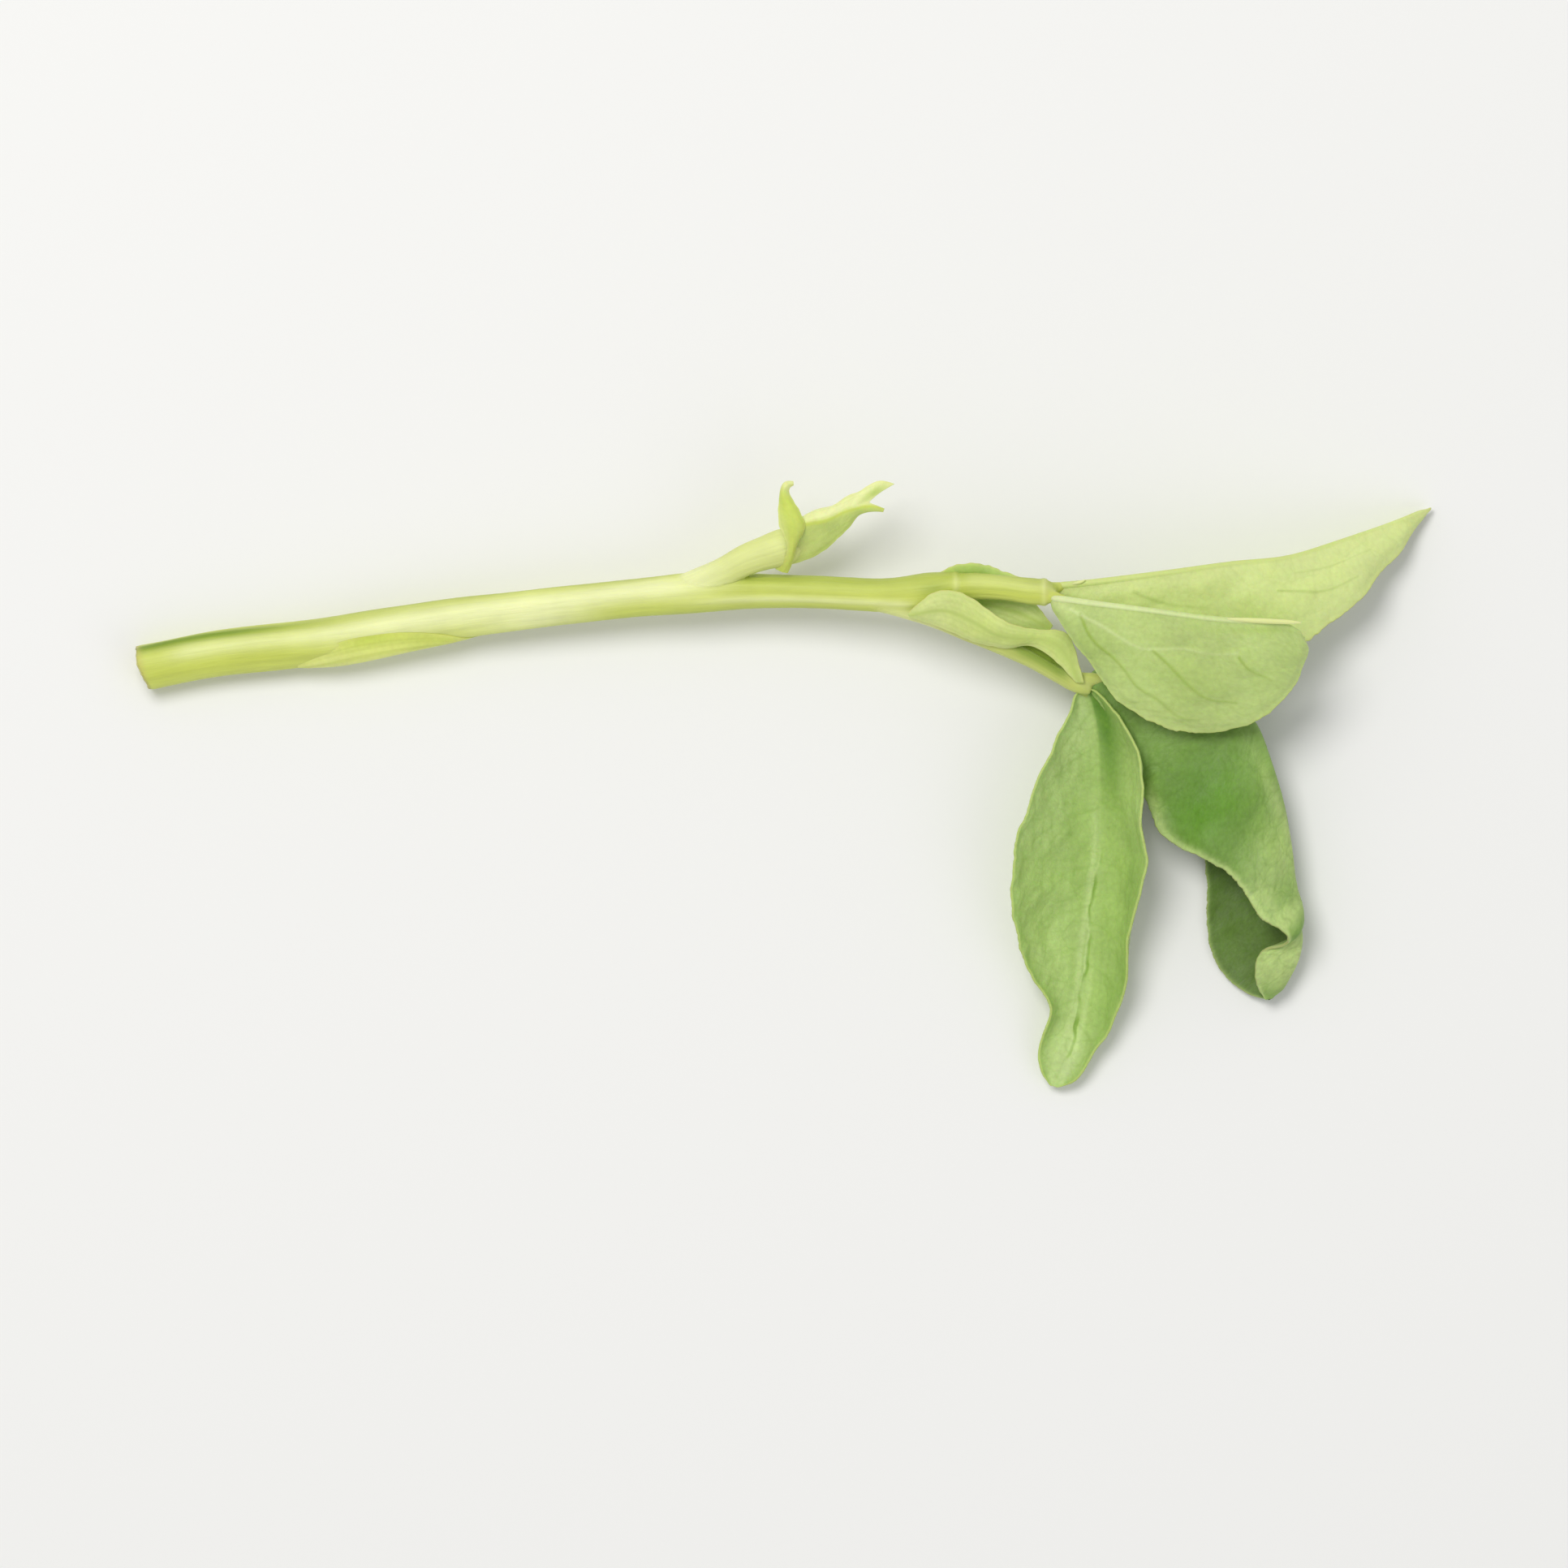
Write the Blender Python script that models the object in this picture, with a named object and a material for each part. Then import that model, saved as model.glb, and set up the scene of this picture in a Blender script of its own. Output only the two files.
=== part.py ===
"""One cut shoot of fava bean, lying down: a ribbed stem, a side shoot, stipules and four leaflets.

The tables below are in millimetres and the model is in metres. +X runs from the cut end to the leaf
tips, +Z is up, and the origin is on the floor under the middle of the shoot. A point of a stem is
(x, y, z, radius). Each blade lies between three lines from its base to its tip: its fold, and the
margin of either half.
"""
import bpy
import numpy as np

MM = 0.001
FLOOR = 0.0

# Stem and stalks
STEM_SIDES = 16
STEM_RINGS = 44
STALK_RINGS = 12
PETIOLE_RINGS = 16
RIB_HEIGHT = 0.07
RIB_TURN = 0.35
CUT_SLANT = 0.2
STEM = (
    (-45.8, 8.4, 1.42, 1.64), (-39.9, 9.5, 1.44, 1.62), (-34.4, 10.1, 1.60, 1.64), (-29.2, 10.9, 1.95, 1.62),
    (-21.4, 12.2, 2.55, 1.42), (-15.3, 12.9, 2.95, 1.36), (-9.6, 13.5, 3.25, 1.36), (-5.7, 13.8, 3.50, 1.42),
    (-2.0, 13.9, 3.80, 1.22), (2.8, 13.8, 4.40, 1.16), (7.7, 13.6, 5.25, 1.26), (10.8, 13.8, 5.95, 1.40),
    (12.3, 14.1, 6.35, 1.10), (14.1, 14.2, 6.75, 0.95), (16.5, 14.0, 7.20, 0.88), (18.6, 13.8, 7.60, 0.92),
    (19.1, 13.8, 7.70, 0.80),
)
SIDE_STALK = (
    (-8.6, 13.6, 3.5, 0.80), (-6.0, 14.6, 3.9, 1.02), (-3.0, 16.0, 4.5, 0.92), (-1.2, 16.6, 4.8, 1.08),
    (0.0, 16.95, 5.0, 1.28),
)
PETIOLE = (
    (6.6, 13.4, 5.1, 0.90), (9.8, 12.4, 5.5, 1.10), (12.0, 11.4, 5.4, 1.08), (14.8, 10.1, 5.1, 1.02),
    (17.6, 8.8, 4.8, 1.00), (19.6, 7.8, 4.6, 0.95), (20.6, 7.3, 4.5, 0.80), (21.2, 7.4, 4.7, 0.45),
    (21.9, 7.9, 5.1, 0.18),
)

# Scale leaf pressed on the lower stem, as stretches of the stem's length and turns round it
PRESSED_FROM = 0.165
PRESSED_TO = 0.372
PRESSED_TURN = -1.25
PRESSED_TIP_TURN = -1.75
PRESSED_REACH = 1.05
PRESSED_LIFT = 0.28
PRESSED_DEPTH = 0.75

# Blades
BLADE = 0.6
LEAF_ROWS = 21
LEAF_COLUMNS = 15
SMALL_ROWS = 13
SMALL_COLUMNS = 7

TROUGH_FOLD = (
    (21.8, 6.5, 4.2), (22.5, 3.0, 3.2), (22.7, 0.3, 2.4), (22.5, -5.8, 1.3), (21.9, -10.8, 0.8),
    (21.3, -14.8, 0.67), (20.6, -17.8, 0.67), (19.6, -20.6, 0.8), (19.4, -21.4, 0.9),
)
TROUGH_NEAR = (
    (21.3, 6.3, 4.4), (20.5, 4.9, 5.0), (18.8, 1.7, 5.6), (17.4, -2.2, 5.6), (16.2, -6.6, 5.0),
    (16.4, -9.4, 4.4), (17.1, -12.0, 3.6), (18.2, -13.8, 3.0), (18.9, -15.8, 2.4), (18.5, -18.0, 1.9),
    (18.4, -19.8, 1.5), (19.0, -21.3, 1.1),
)
TROUGH_FAR = (
    (22.2, 6.5, 4.4), (23.0, 5.8, 5.0), (24.2, 4.3, 5.8), (25.0, 2.3, 6.4), (25.5, -1.3, 6.6),
    (25.6, -5.2, 6.0), (25.2, -7.4, 5.5), (24.8, -10.8, 4.5), (24.4, -13.8, 3.4), (23.6, -16.6, 2.4),
    (22.3, -18.8, 1.8), (21.2, -20.7, 1.4), (19.9, -21.5, 1.1),
)

DROOPING_FOLD = (
    (23.0, 7.5, 4.1), (26.1, 7.5, 4.2), (29.8, 6.5, 4.2), (33.2, 4.3, 4.0), (34.1, 2.3, 3.8), (35.1, -0.5, 3.4),
    (35.7, -2.9, 3.0), (36.1, -5.8, 2.6), (36.4, -8.6, 2.3), (36.3, -11.0, 2.0), (35.8, -13.4, 1.7),
    (34.9, -15.0, 1.4),
)
DROOPING_NEAR = (
    (23.1, 7.1, 4.1), (24.6, 5.1, 4.0), (26.2, 1.7, 3.8), (26.5, -1.2, 3.6), (27.3, -3.6, 3.9),
    (29.1, -4.6, 4.2), (30.7, -5.4, 4.3), (32.3, -6.6, 4.2), (33.5, -8.4, 4.0), (34.2, -10.2, 3.6),
    (34.3, -11.8, 3.0), (34.0, -13.4, 2.3), (34.5, -15.1, 1.6),
)
DROOPING_FAR = (
    (23.1, 7.2, 3.8), (25.8, 5.0, 2.9), (28.0, 1.5, 1.9), (29.5, -2.5, 1.1), (30.3, -5.8, 0.75),
    (30.4, -8.8, 0.68), (30.7, -11.8, 0.68), (32.3, -14.1, 0.8), (34.4, -15.2, 1.1),
)

FRONT_FOLD = (
    (19.6, 13.3, 8.5), (23.0, 12.8, 9.5), (26.9, 12.3, 10.3), (30.8, 11.8, 10.6), (33.7, 11.6, 10.5),
    (36.1, 11.2, 9.9), (37.0, 10.6, 9.3),
)
FRONT_NEAR = (
    (19.6, 12.9, 8.2), (20.2, 11.7, 7.8), (21.3, 10.0, 7.4), (22.8, 7.7, 7.0), (24.1, 6.1, 6.7),
    (25.9, 5.0, 6.4), (28.1, 4.1, 6.3), (29.8, 3.9, 6.3), (32.3, 4.4, 6.4), (34.1, 5.1, 6.7),
    (35.6, 6.2, 7.1), (36.5, 7.4, 7.6), (37.0, 8.6, 8.1), (37.2, 9.7, 8.7), (37.1, 10.4, 9.1),
)
FRONT_FAR = (
    (19.7, 13.0, 8.1), (21.4, 11.6, 7.6), (23.3, 10.0, 7.1), (25.5, 8.8, 6.9), (28.3, 8.1, 6.8),
    (31.5, 8.1, 7.0), (34.3, 8.9, 7.4), (36.2, 9.7, 8.1), (37.0, 10.3, 8.8),
)

BACK_FOLD = (
    (19.7, 14.3, 7.1), (21.5, 14.4, 7.3), (25.0, 14.8, 7.4), (28.9, 15.3, 7.1), (32.8, 15.8, 6.4),
    (35.7, 16.1, 5.7), (38.6, 16.9, 4.6), (41.5, 17.9, 3.3), (44.4, 19.0, 1.8), (46.2, 19.8, 0.75),
)
BACK_NEAR = (
    (19.8, 13.9, 6.7), (22.5, 11.9, 5.9), (26.7, 9.9, 5.6), (30.9, 9.2, 5.4), (35.1, 9.5, 5.1),
    (37.8, 10.8, 4.8), (39.2, 11.9, 4.5), (40.5, 13.0, 4.1), (42.4, 15.0, 3.2), (43.8, 16.6, 2.2),
    (45.0, 18.5, 1.2), (46.2, 19.7, 0.65),
)
BACK_FAR = (
    (19.8, 14.1, 6.5), (22.5, 13.0, 5.2), (26.7, 11.9, 4.2), (30.9, 11.4, 3.5), (35.1, 11.7, 2.9),
    (38.5, 13.0, 2.2), (41.0, 14.6, 1.6), (43.2, 16.5, 0.9), (45.0, 18.6, 0.48), (46.2, 19.75, 0.48),
)

STIPULE_FRONT_UPPER = (
    (8.9, 12.5, 6.9), (10.7, 13.7, 7.8), (12.1, 13.9, 7.9), (13.6, 13.3, 7.9), (15.2, 12.6, 7.6),
    (16.6, 12.0, 7.2), (18.0, 11.5, 6.7), (19.8, 11.2, 6.3), (20.4, 10.2, 6.1), (20.8, 8.9, 5.9),
    (21.3, 7.9, 5.7),
)
STIPULE_FRONT_LOWER = (
    (9.0, 12.2, 6.9), (11.9, 11.2, 7.0), (14.4, 10.2, 6.7), (16.7, 10.1, 6.3), (18.7, 9.8, 6.0),
    (19.7, 9.1, 5.9), (20.6, 8.2, 5.8), (21.1, 7.7, 5.7),
)
STIPULE_BACK_UPPER = (
    (11.0, 15.4, 5.3), (12.4, 15.5, 5.6), (14.1, 15.5, 5.6), (15.7, 15.0, 5.5), (17.5, 14.6, 5.4),
)
STIPULE_BACK_LOWER = (
    (11.0, 15.2, 4.9), (12.6, 14.9, 3.6), (14.6, 14.4, 3.2), (16.4, 14.2, 3.8), (17.5, 14.5, 5.1),
)
STIPULE_SMALL_UPPER = ((14.8, 13.2, 5.2), (16.5, 13.2, 5.5), (17.8, 12.8, 5.6), (19.0, 11.7, 5.4))
STIPULE_SMALL_LOWER = ((14.8, 12.8, 5.2), (16.4, 12.0, 5.4), (17.6, 11.5, 5.4), (18.8, 11.3, 5.3))

SHEATH_FOLD = (
    (1.3, 17.7, 5.6), (2.9, 18.8, 6.5), (4.5, 19.5, 7.0), (5.7, 19.9, 7.2), (6.2, 20.2, 7.2),
)
SHEATH_NEAR = (
    (0.9, 15.9, 4.4), (1.9, 16.2, 4.8), (3.1, 17.2, 5.4), (4.3, 18.4, 6.0), (5.4, 19.4, 6.6), (7.2, 19.7, 7.0),
)
SHEATH_FAR = (
    (1.5, 18.9, 5.2), (3.0, 19.7, 6.1), (4.3, 20.4, 6.8), (5.7, 21.1, 7.3), (7.0, 21.6, 7.5), (8.0, 21.5, 7.4),
)
HOOK_FOLD = (
    (0.2, 15.3, 5.1), (0.6, 16.6, 6.6), (0.9, 17.9, 7.2), (0.8, 18.8, 7.4), (0.3, 20.1, 7.7), (0.2, 21.1, 7.8),
    (0.7, 21.6, 7.6),
)
HOOK_NEAR = (
    (0.4, 15.4, 5.0), (0.9, 16.7, 6.3), (1.2, 17.9, 6.9), (1.4, 18.7, 7.0), (0.9, 19.7, 7.3), (0.4, 20.9, 7.5),
    (0.8, 21.5, 7.5),
)
HOOK_FAR = (
    (0.0, 15.3, 4.9), (0.2, 16.7, 6.3), (0.4, 17.7, 6.8), (0.0, 18.6, 7.0), (-0.2, 19.6, 7.2), (-0.1, 20.8, 7.4),
    (0.3, 21.5, 7.5), (0.6, 21.7, 7.5),
)

# Colours, as linear values, and roughness
STEM_GREEN = (0.62, 0.72, 0.20)
SHEATH_GREEN = (0.58, 0.66, 0.20)
STIPULE_GREEN = (0.50, 0.62, 0.17)
UPPER_GREEN = (0.26, 0.44, 0.12)
DEEP_GREEN = (0.17, 0.32, 0.08)
UNDER_GREEN = (0.50, 0.61, 0.22)
PLANT_ROUGHNESS = 0.55


def clear_scene():
    for item in list(bpy.data.objects):
        bpy.data.objects.remove(item)


def plant_material(name, colour):
    material = bpy.data.materials.new(name)
    material.use_nodes = True
    shader = material.node_tree.nodes["Principled BSDF"]
    shader.inputs["Base Color"].default_value = (*colour, 1.0)
    shader.inputs["Roughness"].default_value = PLANT_ROUGHNESS
    shader.inputs["Metallic"].default_value = 0.0
    return material


def unit(vectors):
    return vectors / np.linalg.norm(vectors, axis=-1, keepdims=True)


def spline(points, u):
    """A natural cubic spline through the points, at u from 0 to 1 measured along the chords."""
    points = np.asarray(points, float)
    chords = np.linalg.norm(np.diff(points[:, :3], axis=0), axis=1)
    knots = np.concatenate(([0.0], np.cumsum(chords))) / chords.sum()
    gaps = np.diff(knots)
    slopes = np.diff(points, axis=0) / gaps[:, None]
    system = np.eye(len(points))
    turns = np.zeros_like(points)
    for i in range(1, len(points) - 1):
        system[i, i - 1:i + 2] = (gaps[i - 1], 2 * (gaps[i - 1] + gaps[i]), gaps[i])
        turns[i] = 6 * (slopes[i] - slopes[i - 1])
    bends = np.linalg.solve(system, turns)
    piece = np.clip(np.searchsorted(knots, u, side="right") - 1, 0, len(points) - 2)
    after = ((u - knots[piece]) / gaps[piece])[:, None]
    before = 1 - after
    bend = (before**3 - before) * bends[piece] + (after**3 - after) * bends[piece + 1]
    return before * points[piece] + after * points[piece + 1] + bend * gaps[piece][:, None] ** 2 / 6


def mesh_object(name, points, faces, material, parent):
    """A named object from points in millimetres, with its faces split into triangles."""
    mesh = bpy.data.meshes.new(name)
    mesh.from_pydata((points * MM).tolist(), [], faces)
    mesh.materials.append(material)
    mesh.validate()
    mesh.shade_smooth()
    item = bpy.data.objects.new(name, mesh)
    item.parent = parent
    bpy.context.scene.collection.objects.link(item)
    return item


def split_quads(rows, columns, turned=False):
    """Two triangles for each cell of a grid, turned over if asked."""
    faces = []
    for i in range(rows - 1):
        for j in range(columns - 1):
            a = i * columns + j
            b = a + 1
            c = b + columns
            d = a + columns
            faces += [(a, b, c), (a, c, d)]
    return [face[::-1] for face in faces] if turned else faces


# Stems


def tube_points(path, along, around, lift=0.0):
    """Points on a four ribbed tube, at shares of its length and at angles from its top towards +Y."""
    step = 0.001
    line = spline(path, along)
    ahead = spline(path, np.minimum(along + step, 1.0))[:, :3]
    behind = spline(path, np.maximum(along - step, 0.0))[:, :3]
    heading = unit(ahead - behind)
    sideways = unit(np.cross((0.0, 0.0, 1.0), heading))
    upward = np.cross(heading, sideways)
    around = np.broadcast_to(around, (len(along), np.shape(around)[-1]))
    ribs = 1 + RIB_HEIGHT * np.cos(4 * (around - RIB_TURN))
    reach = (line[:, 3:] * ribs + lift)[..., None]
    turn = around[..., None]
    return line[:, None, :3] + reach * (np.cos(turn) * upward[:, None] + np.sin(turn) * sideways[:, None])


def stand_on_floor(points):
    points[..., 2] = np.maximum(points[..., 2], FLOOR)
    return points


def closed_tube(name, rings, material, parent):
    """A tube from rings of points, with its ends closed."""
    count, sides = rings.shape[:2]
    faces = []
    for i in range(count - 1):
        for j in range(sides):
            a = i * sides + j
            b = i * sides + (j + 1) % sides
            faces += [(a, a + sides, b + sides), (a, b + sides, b)]
    first = len(rings) * sides
    last = first + 1
    for j in range(sides):
        after = (j + 1) % sides
        faces.append((first, j, after))
        faces.append((last, first - sides + after, first - sides + j))
    ends = np.array([rings[0].mean(axis=0), rings[-1].mean(axis=0)])
    points = np.concatenate([rings.reshape(-1, 3), ends])
    return mesh_object(name, points, faces, material, parent)


def stem_tube(name, path, count, material, parent, slant=0.0):
    around = np.linspace(0, 2 * np.pi, STEM_SIDES, endpoint=False)
    rings = tube_points(path, np.linspace(0, 1, count), around)
    heading = unit(rings[1].mean(axis=0) - rings[0].mean(axis=0))
    rings[0] -= slant * (rings[0, :, 1:2] - rings[0, :, 1].mean()) * heading
    return closed_tube(name, stand_on_floor(rings), material, parent)


def pressed_scale(material, parent):
    """The scale leaf on the stem: a lens wrapped round it, its root sunk in the stem."""
    t = np.linspace(0, 1, SMALL_ROWS)
    along = PRESSED_FROM + (PRESSED_TO - PRESSED_FROM) * t
    middle = PRESSED_TURN + (PRESSED_TIP_TURN - PRESSED_TURN) * t**3
    share = np.sin(np.pi * np.clip(t, 0.04, 0.96)) ** 0.8
    across = np.linspace(-1, 1, SMALL_COLUMNS)
    around = middle[:, None] + PRESSED_REACH * share[:, None] * across
    lift = (PRESSED_LIFT * np.minimum(1.0, 2.5 * share - 0.6))[:, None]
    outer = tube_points(STEM, along, around, lift)
    inner = tube_points(STEM, along, around, lift - PRESSED_DEPTH)
    rings = np.concatenate([outer, inner[:, ::-1]], axis=1)
    return closed_tube("pressed_scale", stand_on_floor(rings), material, parent)


def fuse(main, others):
    """Union of one solid with others, which are then removed."""
    group = bpy.data.collections.new("fused")
    for item in others:
        group.objects.link(item)
    union = main.modifiers.new("union", "BOOLEAN")
    union.operation = "UNION"
    union.solver = "EXACT"
    union.operand_type = "COLLECTION"
    union.collection = group
    graph = bpy.context.evaluated_depsgraph_get()
    mesh = bpy.data.meshes.new_from_object(main.evaluated_get(graph))
    main.modifiers.remove(union)
    main.data = mesh
    for item in others:
        bpy.data.objects.remove(item)
    bpy.data.collections.remove(group)


def main_stem(parent):
    material = plant_material("stem_green", STEM_GREEN)
    stem = stem_tube("main_stem", STEM, STEM_RINGS, material, parent, CUT_SLANT)
    stalk = stem_tube("side_stalk", SIDE_STALK, STALK_RINGS, material, parent)
    petiole = stem_tube("petiole", PETIOLE, PETIOLE_RINGS, material, parent)
    fuse(stem, [stalk, petiole, pressed_scale(material, parent)])
    return stem


# Blades


def fold_section(fold, near, far, across, crease, spread):
    """Rows across a folded blade, from the far margin through the fold to the near margin.

    The depth of a point grows as a hyperbola of its share of the half's width, which rounds the
    fold by crease, and the two halves part as a hyperbolic tangent, sooner for a larger spread.
    """
    middle = (near + far) / 2 - fold
    half_gap = (near - far) / 2
    depth = (np.sqrt(across**2 + crease**2) - crease) / (np.sqrt(1 + crease**2) - crease)
    parting = np.tanh(spread * across) / np.tanh(spread)
    return fold[:, None] + middle[:, None] * depth[:, None] + half_gap[:, None] * parting[:, None]


def blade_points(lines, rows, columns, crease, spread, puff=0.0, wave=(0.0, 0.0)):
    """A blade between its fold and margins, its halves puffed outwards and its margins waved."""
    u = 0.5 - 0.5 * np.cos(np.linspace(0, np.pi, rows))
    across = np.linspace(-1, 1, columns)
    fold, near, far = (spline(line, u) for line in lines)
    points = fold_section(fold, near, far, across, crease, spread)
    along = np.gradient(points, u, axis=0)
    sideways = np.gradient(points, across, axis=1)
    outward = unit(np.cross(sideways, along))
    reach = np.abs(across)[None, :]
    run = u[:, None]
    rise = puff * np.sin(np.pi * reach) * np.sin(np.pi * run) ** 0.5
    height, count = wave
    ripple = height * np.sin(2 * np.pi * count * run + np.sign(across)) * reach**3 * np.sin(np.pi * run)
    mid = rows // 2
    turned = np.dot(outward[mid, -1], (near - far)[mid]) < 0
    sign = -1.0 if turned else 1.0
    return points + sign * (rise + ripple)[..., None] * outward, turned


def blade(name, lines, material, parent, rows, columns, crease, spread, puff=0.0, wave=(0.0, 0.0)):
    points, turned = blade_points(lines, rows, columns, crease, spread, puff, wave)
    faces = split_quads(rows, columns, turned)
    item = mesh_object(name, points.reshape(-1, 3), faces, material, parent)
    wall = item.modifiers.new("wall", "SOLIDIFY")
    wall.thickness = BLADE * MM
    wall.offset = 1.0
    wall.use_even_offset = False
    return item


def leaflet(name, lines, material, parent, crease, spread, puff, wave):
    return blade(name, lines, material, parent, LEAF_ROWS, LEAF_COLUMNS, crease, spread, puff, wave)


def middle_line(upper, lower, arch):
    """A line half way between two margins, lifted most at half its length."""
    u = np.linspace(0, 1, SMALL_ROWS)
    line = (spline(upper, u) + spline(lower, u)) / 2
    line += np.sin(np.pi * u)[:, None] * np.array(arch)
    return line


def small_blade(name, lines, material, parent, crease=0.6, spread=0.8):
    return blade(name, lines, material, parent, SMALL_ROWS, SMALL_COLUMNS, crease, spread)


def stipules(parent):
    material = plant_material("stipule_green", STIPULE_GREEN)
    front = middle_line(STIPULE_FRONT_UPPER, STIPULE_FRONT_LOWER, (0.0, 0.0, 0.35))
    small_blade("stipule_front", (front, STIPULE_FRONT_UPPER, STIPULE_FRONT_LOWER), material, parent)
    back = middle_line(STIPULE_BACK_UPPER, STIPULE_BACK_LOWER, (0.0, 0.35, 0.0))
    small_blade("stipule_back", (back, STIPULE_BACK_UPPER, STIPULE_BACK_LOWER), material, parent)
    small = middle_line(STIPULE_SMALL_UPPER, STIPULE_SMALL_LOWER, (0.0, 0.0, 0.1))
    small_blade("stipule_small", (small, STIPULE_SMALL_UPPER, STIPULE_SMALL_LOWER), material, parent)


def side_shoot(parent):
    material = plant_material("sheath_green", SHEATH_GREEN)
    small_blade("side_sheath", (SHEATH_FOLD, SHEATH_NEAR, SHEATH_FAR), material, parent, 0.5, 1.0)
    small_blade("hooked_scale", (HOOK_FOLD, HOOK_NEAR, HOOK_FAR), material, parent, 0.5, 1.0)


def leaflets(parent):
    upper = plant_material("upper_green", UPPER_GREEN)
    deep = plant_material("deep_green", DEEP_GREEN)
    under = plant_material("under_green", UNDER_GREEN)
    trough = (TROUGH_FOLD, TROUGH_NEAR, TROUGH_FAR)
    drooping = (DROOPING_FOLD, DROOPING_NEAR, DROOPING_FAR)
    front = (FRONT_FOLD, FRONT_NEAR, FRONT_FAR)
    back = (BACK_FOLD, BACK_NEAR, BACK_FAR)
    leaflet("leaflet_trough", trough, upper, parent, 0.35, 0.9, 0.35, (0.15, 3.0))
    leaflet("leaflet_drooping", drooping, deep, parent, 0.45, 2.0, 0.2, (0.12, 3.0))
    leaflet("leaflet_end_front", front, under, parent, 0.3, 1.4, 0.4, (0.12, 3.0))
    leaflet("leaflet_end_back", back, under, parent, 0.3, 1.4, 0.3, (0.12, 3.0))


def main():
    clear_scene()
    shoot = bpy.data.objects.new("shoot", None)
    bpy.context.scene.collection.objects.link(shoot)
    main_stem(shoot)
    side_shoot(shoot)
    stipules(shoot)
    leaflets(shoot)


main()
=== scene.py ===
"""Looks of one cut shoot of fava bean, which lies on its stem and its leaf tips.

Lengths are in millimetres until a mesh is written. +X runs from the cut end to the leaf tips, +Y to the
left of the stem and +Z up. A blade is a function of u, its share from base to tip, and s, its share from
the far margin (-1) over the fold (0) to the near margin (+1). A stem is a ribbed ring carried along a line.
"""

import bpy
import numpy as np
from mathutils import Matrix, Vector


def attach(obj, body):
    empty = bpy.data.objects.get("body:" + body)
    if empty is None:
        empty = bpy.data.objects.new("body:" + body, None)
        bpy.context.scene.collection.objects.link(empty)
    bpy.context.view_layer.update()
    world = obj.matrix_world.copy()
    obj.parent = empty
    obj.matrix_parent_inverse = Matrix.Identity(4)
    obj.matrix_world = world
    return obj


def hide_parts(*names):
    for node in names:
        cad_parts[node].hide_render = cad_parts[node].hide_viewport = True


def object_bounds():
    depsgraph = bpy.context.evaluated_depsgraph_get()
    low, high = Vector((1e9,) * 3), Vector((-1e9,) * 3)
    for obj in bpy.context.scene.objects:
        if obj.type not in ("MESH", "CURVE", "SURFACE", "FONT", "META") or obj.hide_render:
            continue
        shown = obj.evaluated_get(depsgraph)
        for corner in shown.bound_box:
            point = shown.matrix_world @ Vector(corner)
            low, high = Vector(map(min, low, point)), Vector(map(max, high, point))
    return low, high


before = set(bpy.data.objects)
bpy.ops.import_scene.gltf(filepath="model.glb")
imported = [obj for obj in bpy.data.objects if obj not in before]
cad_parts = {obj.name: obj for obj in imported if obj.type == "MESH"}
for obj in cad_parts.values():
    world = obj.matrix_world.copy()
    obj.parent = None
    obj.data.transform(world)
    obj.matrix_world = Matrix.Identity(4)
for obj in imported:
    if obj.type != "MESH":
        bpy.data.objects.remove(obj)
cad_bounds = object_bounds()

MM = 0.001

# Stem and stalks: x, y, z and radius
STEM = (
    (-45.8, 8.4, 1.42, 1.64), (-39.9, 9.5, 1.44, 1.62), (-34.4, 10.1, 1.60, 1.64),
    (-29.2, 10.9, 1.95, 1.62), (-21.4, 12.2, 2.55, 1.42), (-15.3, 12.9, 2.95, 1.36),
    (-9.6, 13.5, 3.25, 1.36), (-5.7, 13.8, 3.50, 1.42), (-2.0, 13.9, 3.80, 1.22), (2.8, 13.8, 4.40, 1.16),
    (7.7, 13.6, 5.25, 1.26), (10.8, 13.8, 5.95, 1.40), (12.3, 14.1, 6.35, 1.10), (14.1, 14.2, 6.75, 0.95),
    (16.5, 14.0, 7.20, 0.88), (18.5, 13.8, 7.58, 0.88), (19.0, 13.8, 7.66, 0.74), (19.3, 13.8, 7.70, 0.45),
)
SIDE_STALK = (
    (-10.6, 13.45, 2.9, 0.70), (-8.8, 13.75, 3.15, 0.88), (-7.0, 14.12, 3.6, 0.98),
    (-5.4, 14.78, 4.1, 0.99), (-3.9, 15.5, 4.5, 1.0), (-2.6, 16.15, 4.75, 1.06), (-1.2, 16.62, 4.95, 1.20),
    (-0.3, 16.9, 5.05, 1.32), (0.4, 17.15, 5.1, 1.28), (0.9, 17.35, 5.2, 1.10), (1.5, 17.6, 5.5, 0.75),
    (2.0, 17.8, 5.8, 0.40),
)
PETIOLE = (
    (6.6, 13.4, 5.1, 0.90), (9.8, 12.65, 5.5, 1.02), (12.0, 11.8, 5.4, 0.96), (14.8, 10.6, 5.1, 0.90),
    (17.6, 9.35, 4.8, 0.86), (19.6, 8.2, 4.6, 0.80), (20.8, 7.4, 4.5, 0.68), (21.5, 7.0, 4.45, 0.50),
    (22.0, 6.8, 4.4, 0.30),
)
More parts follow.
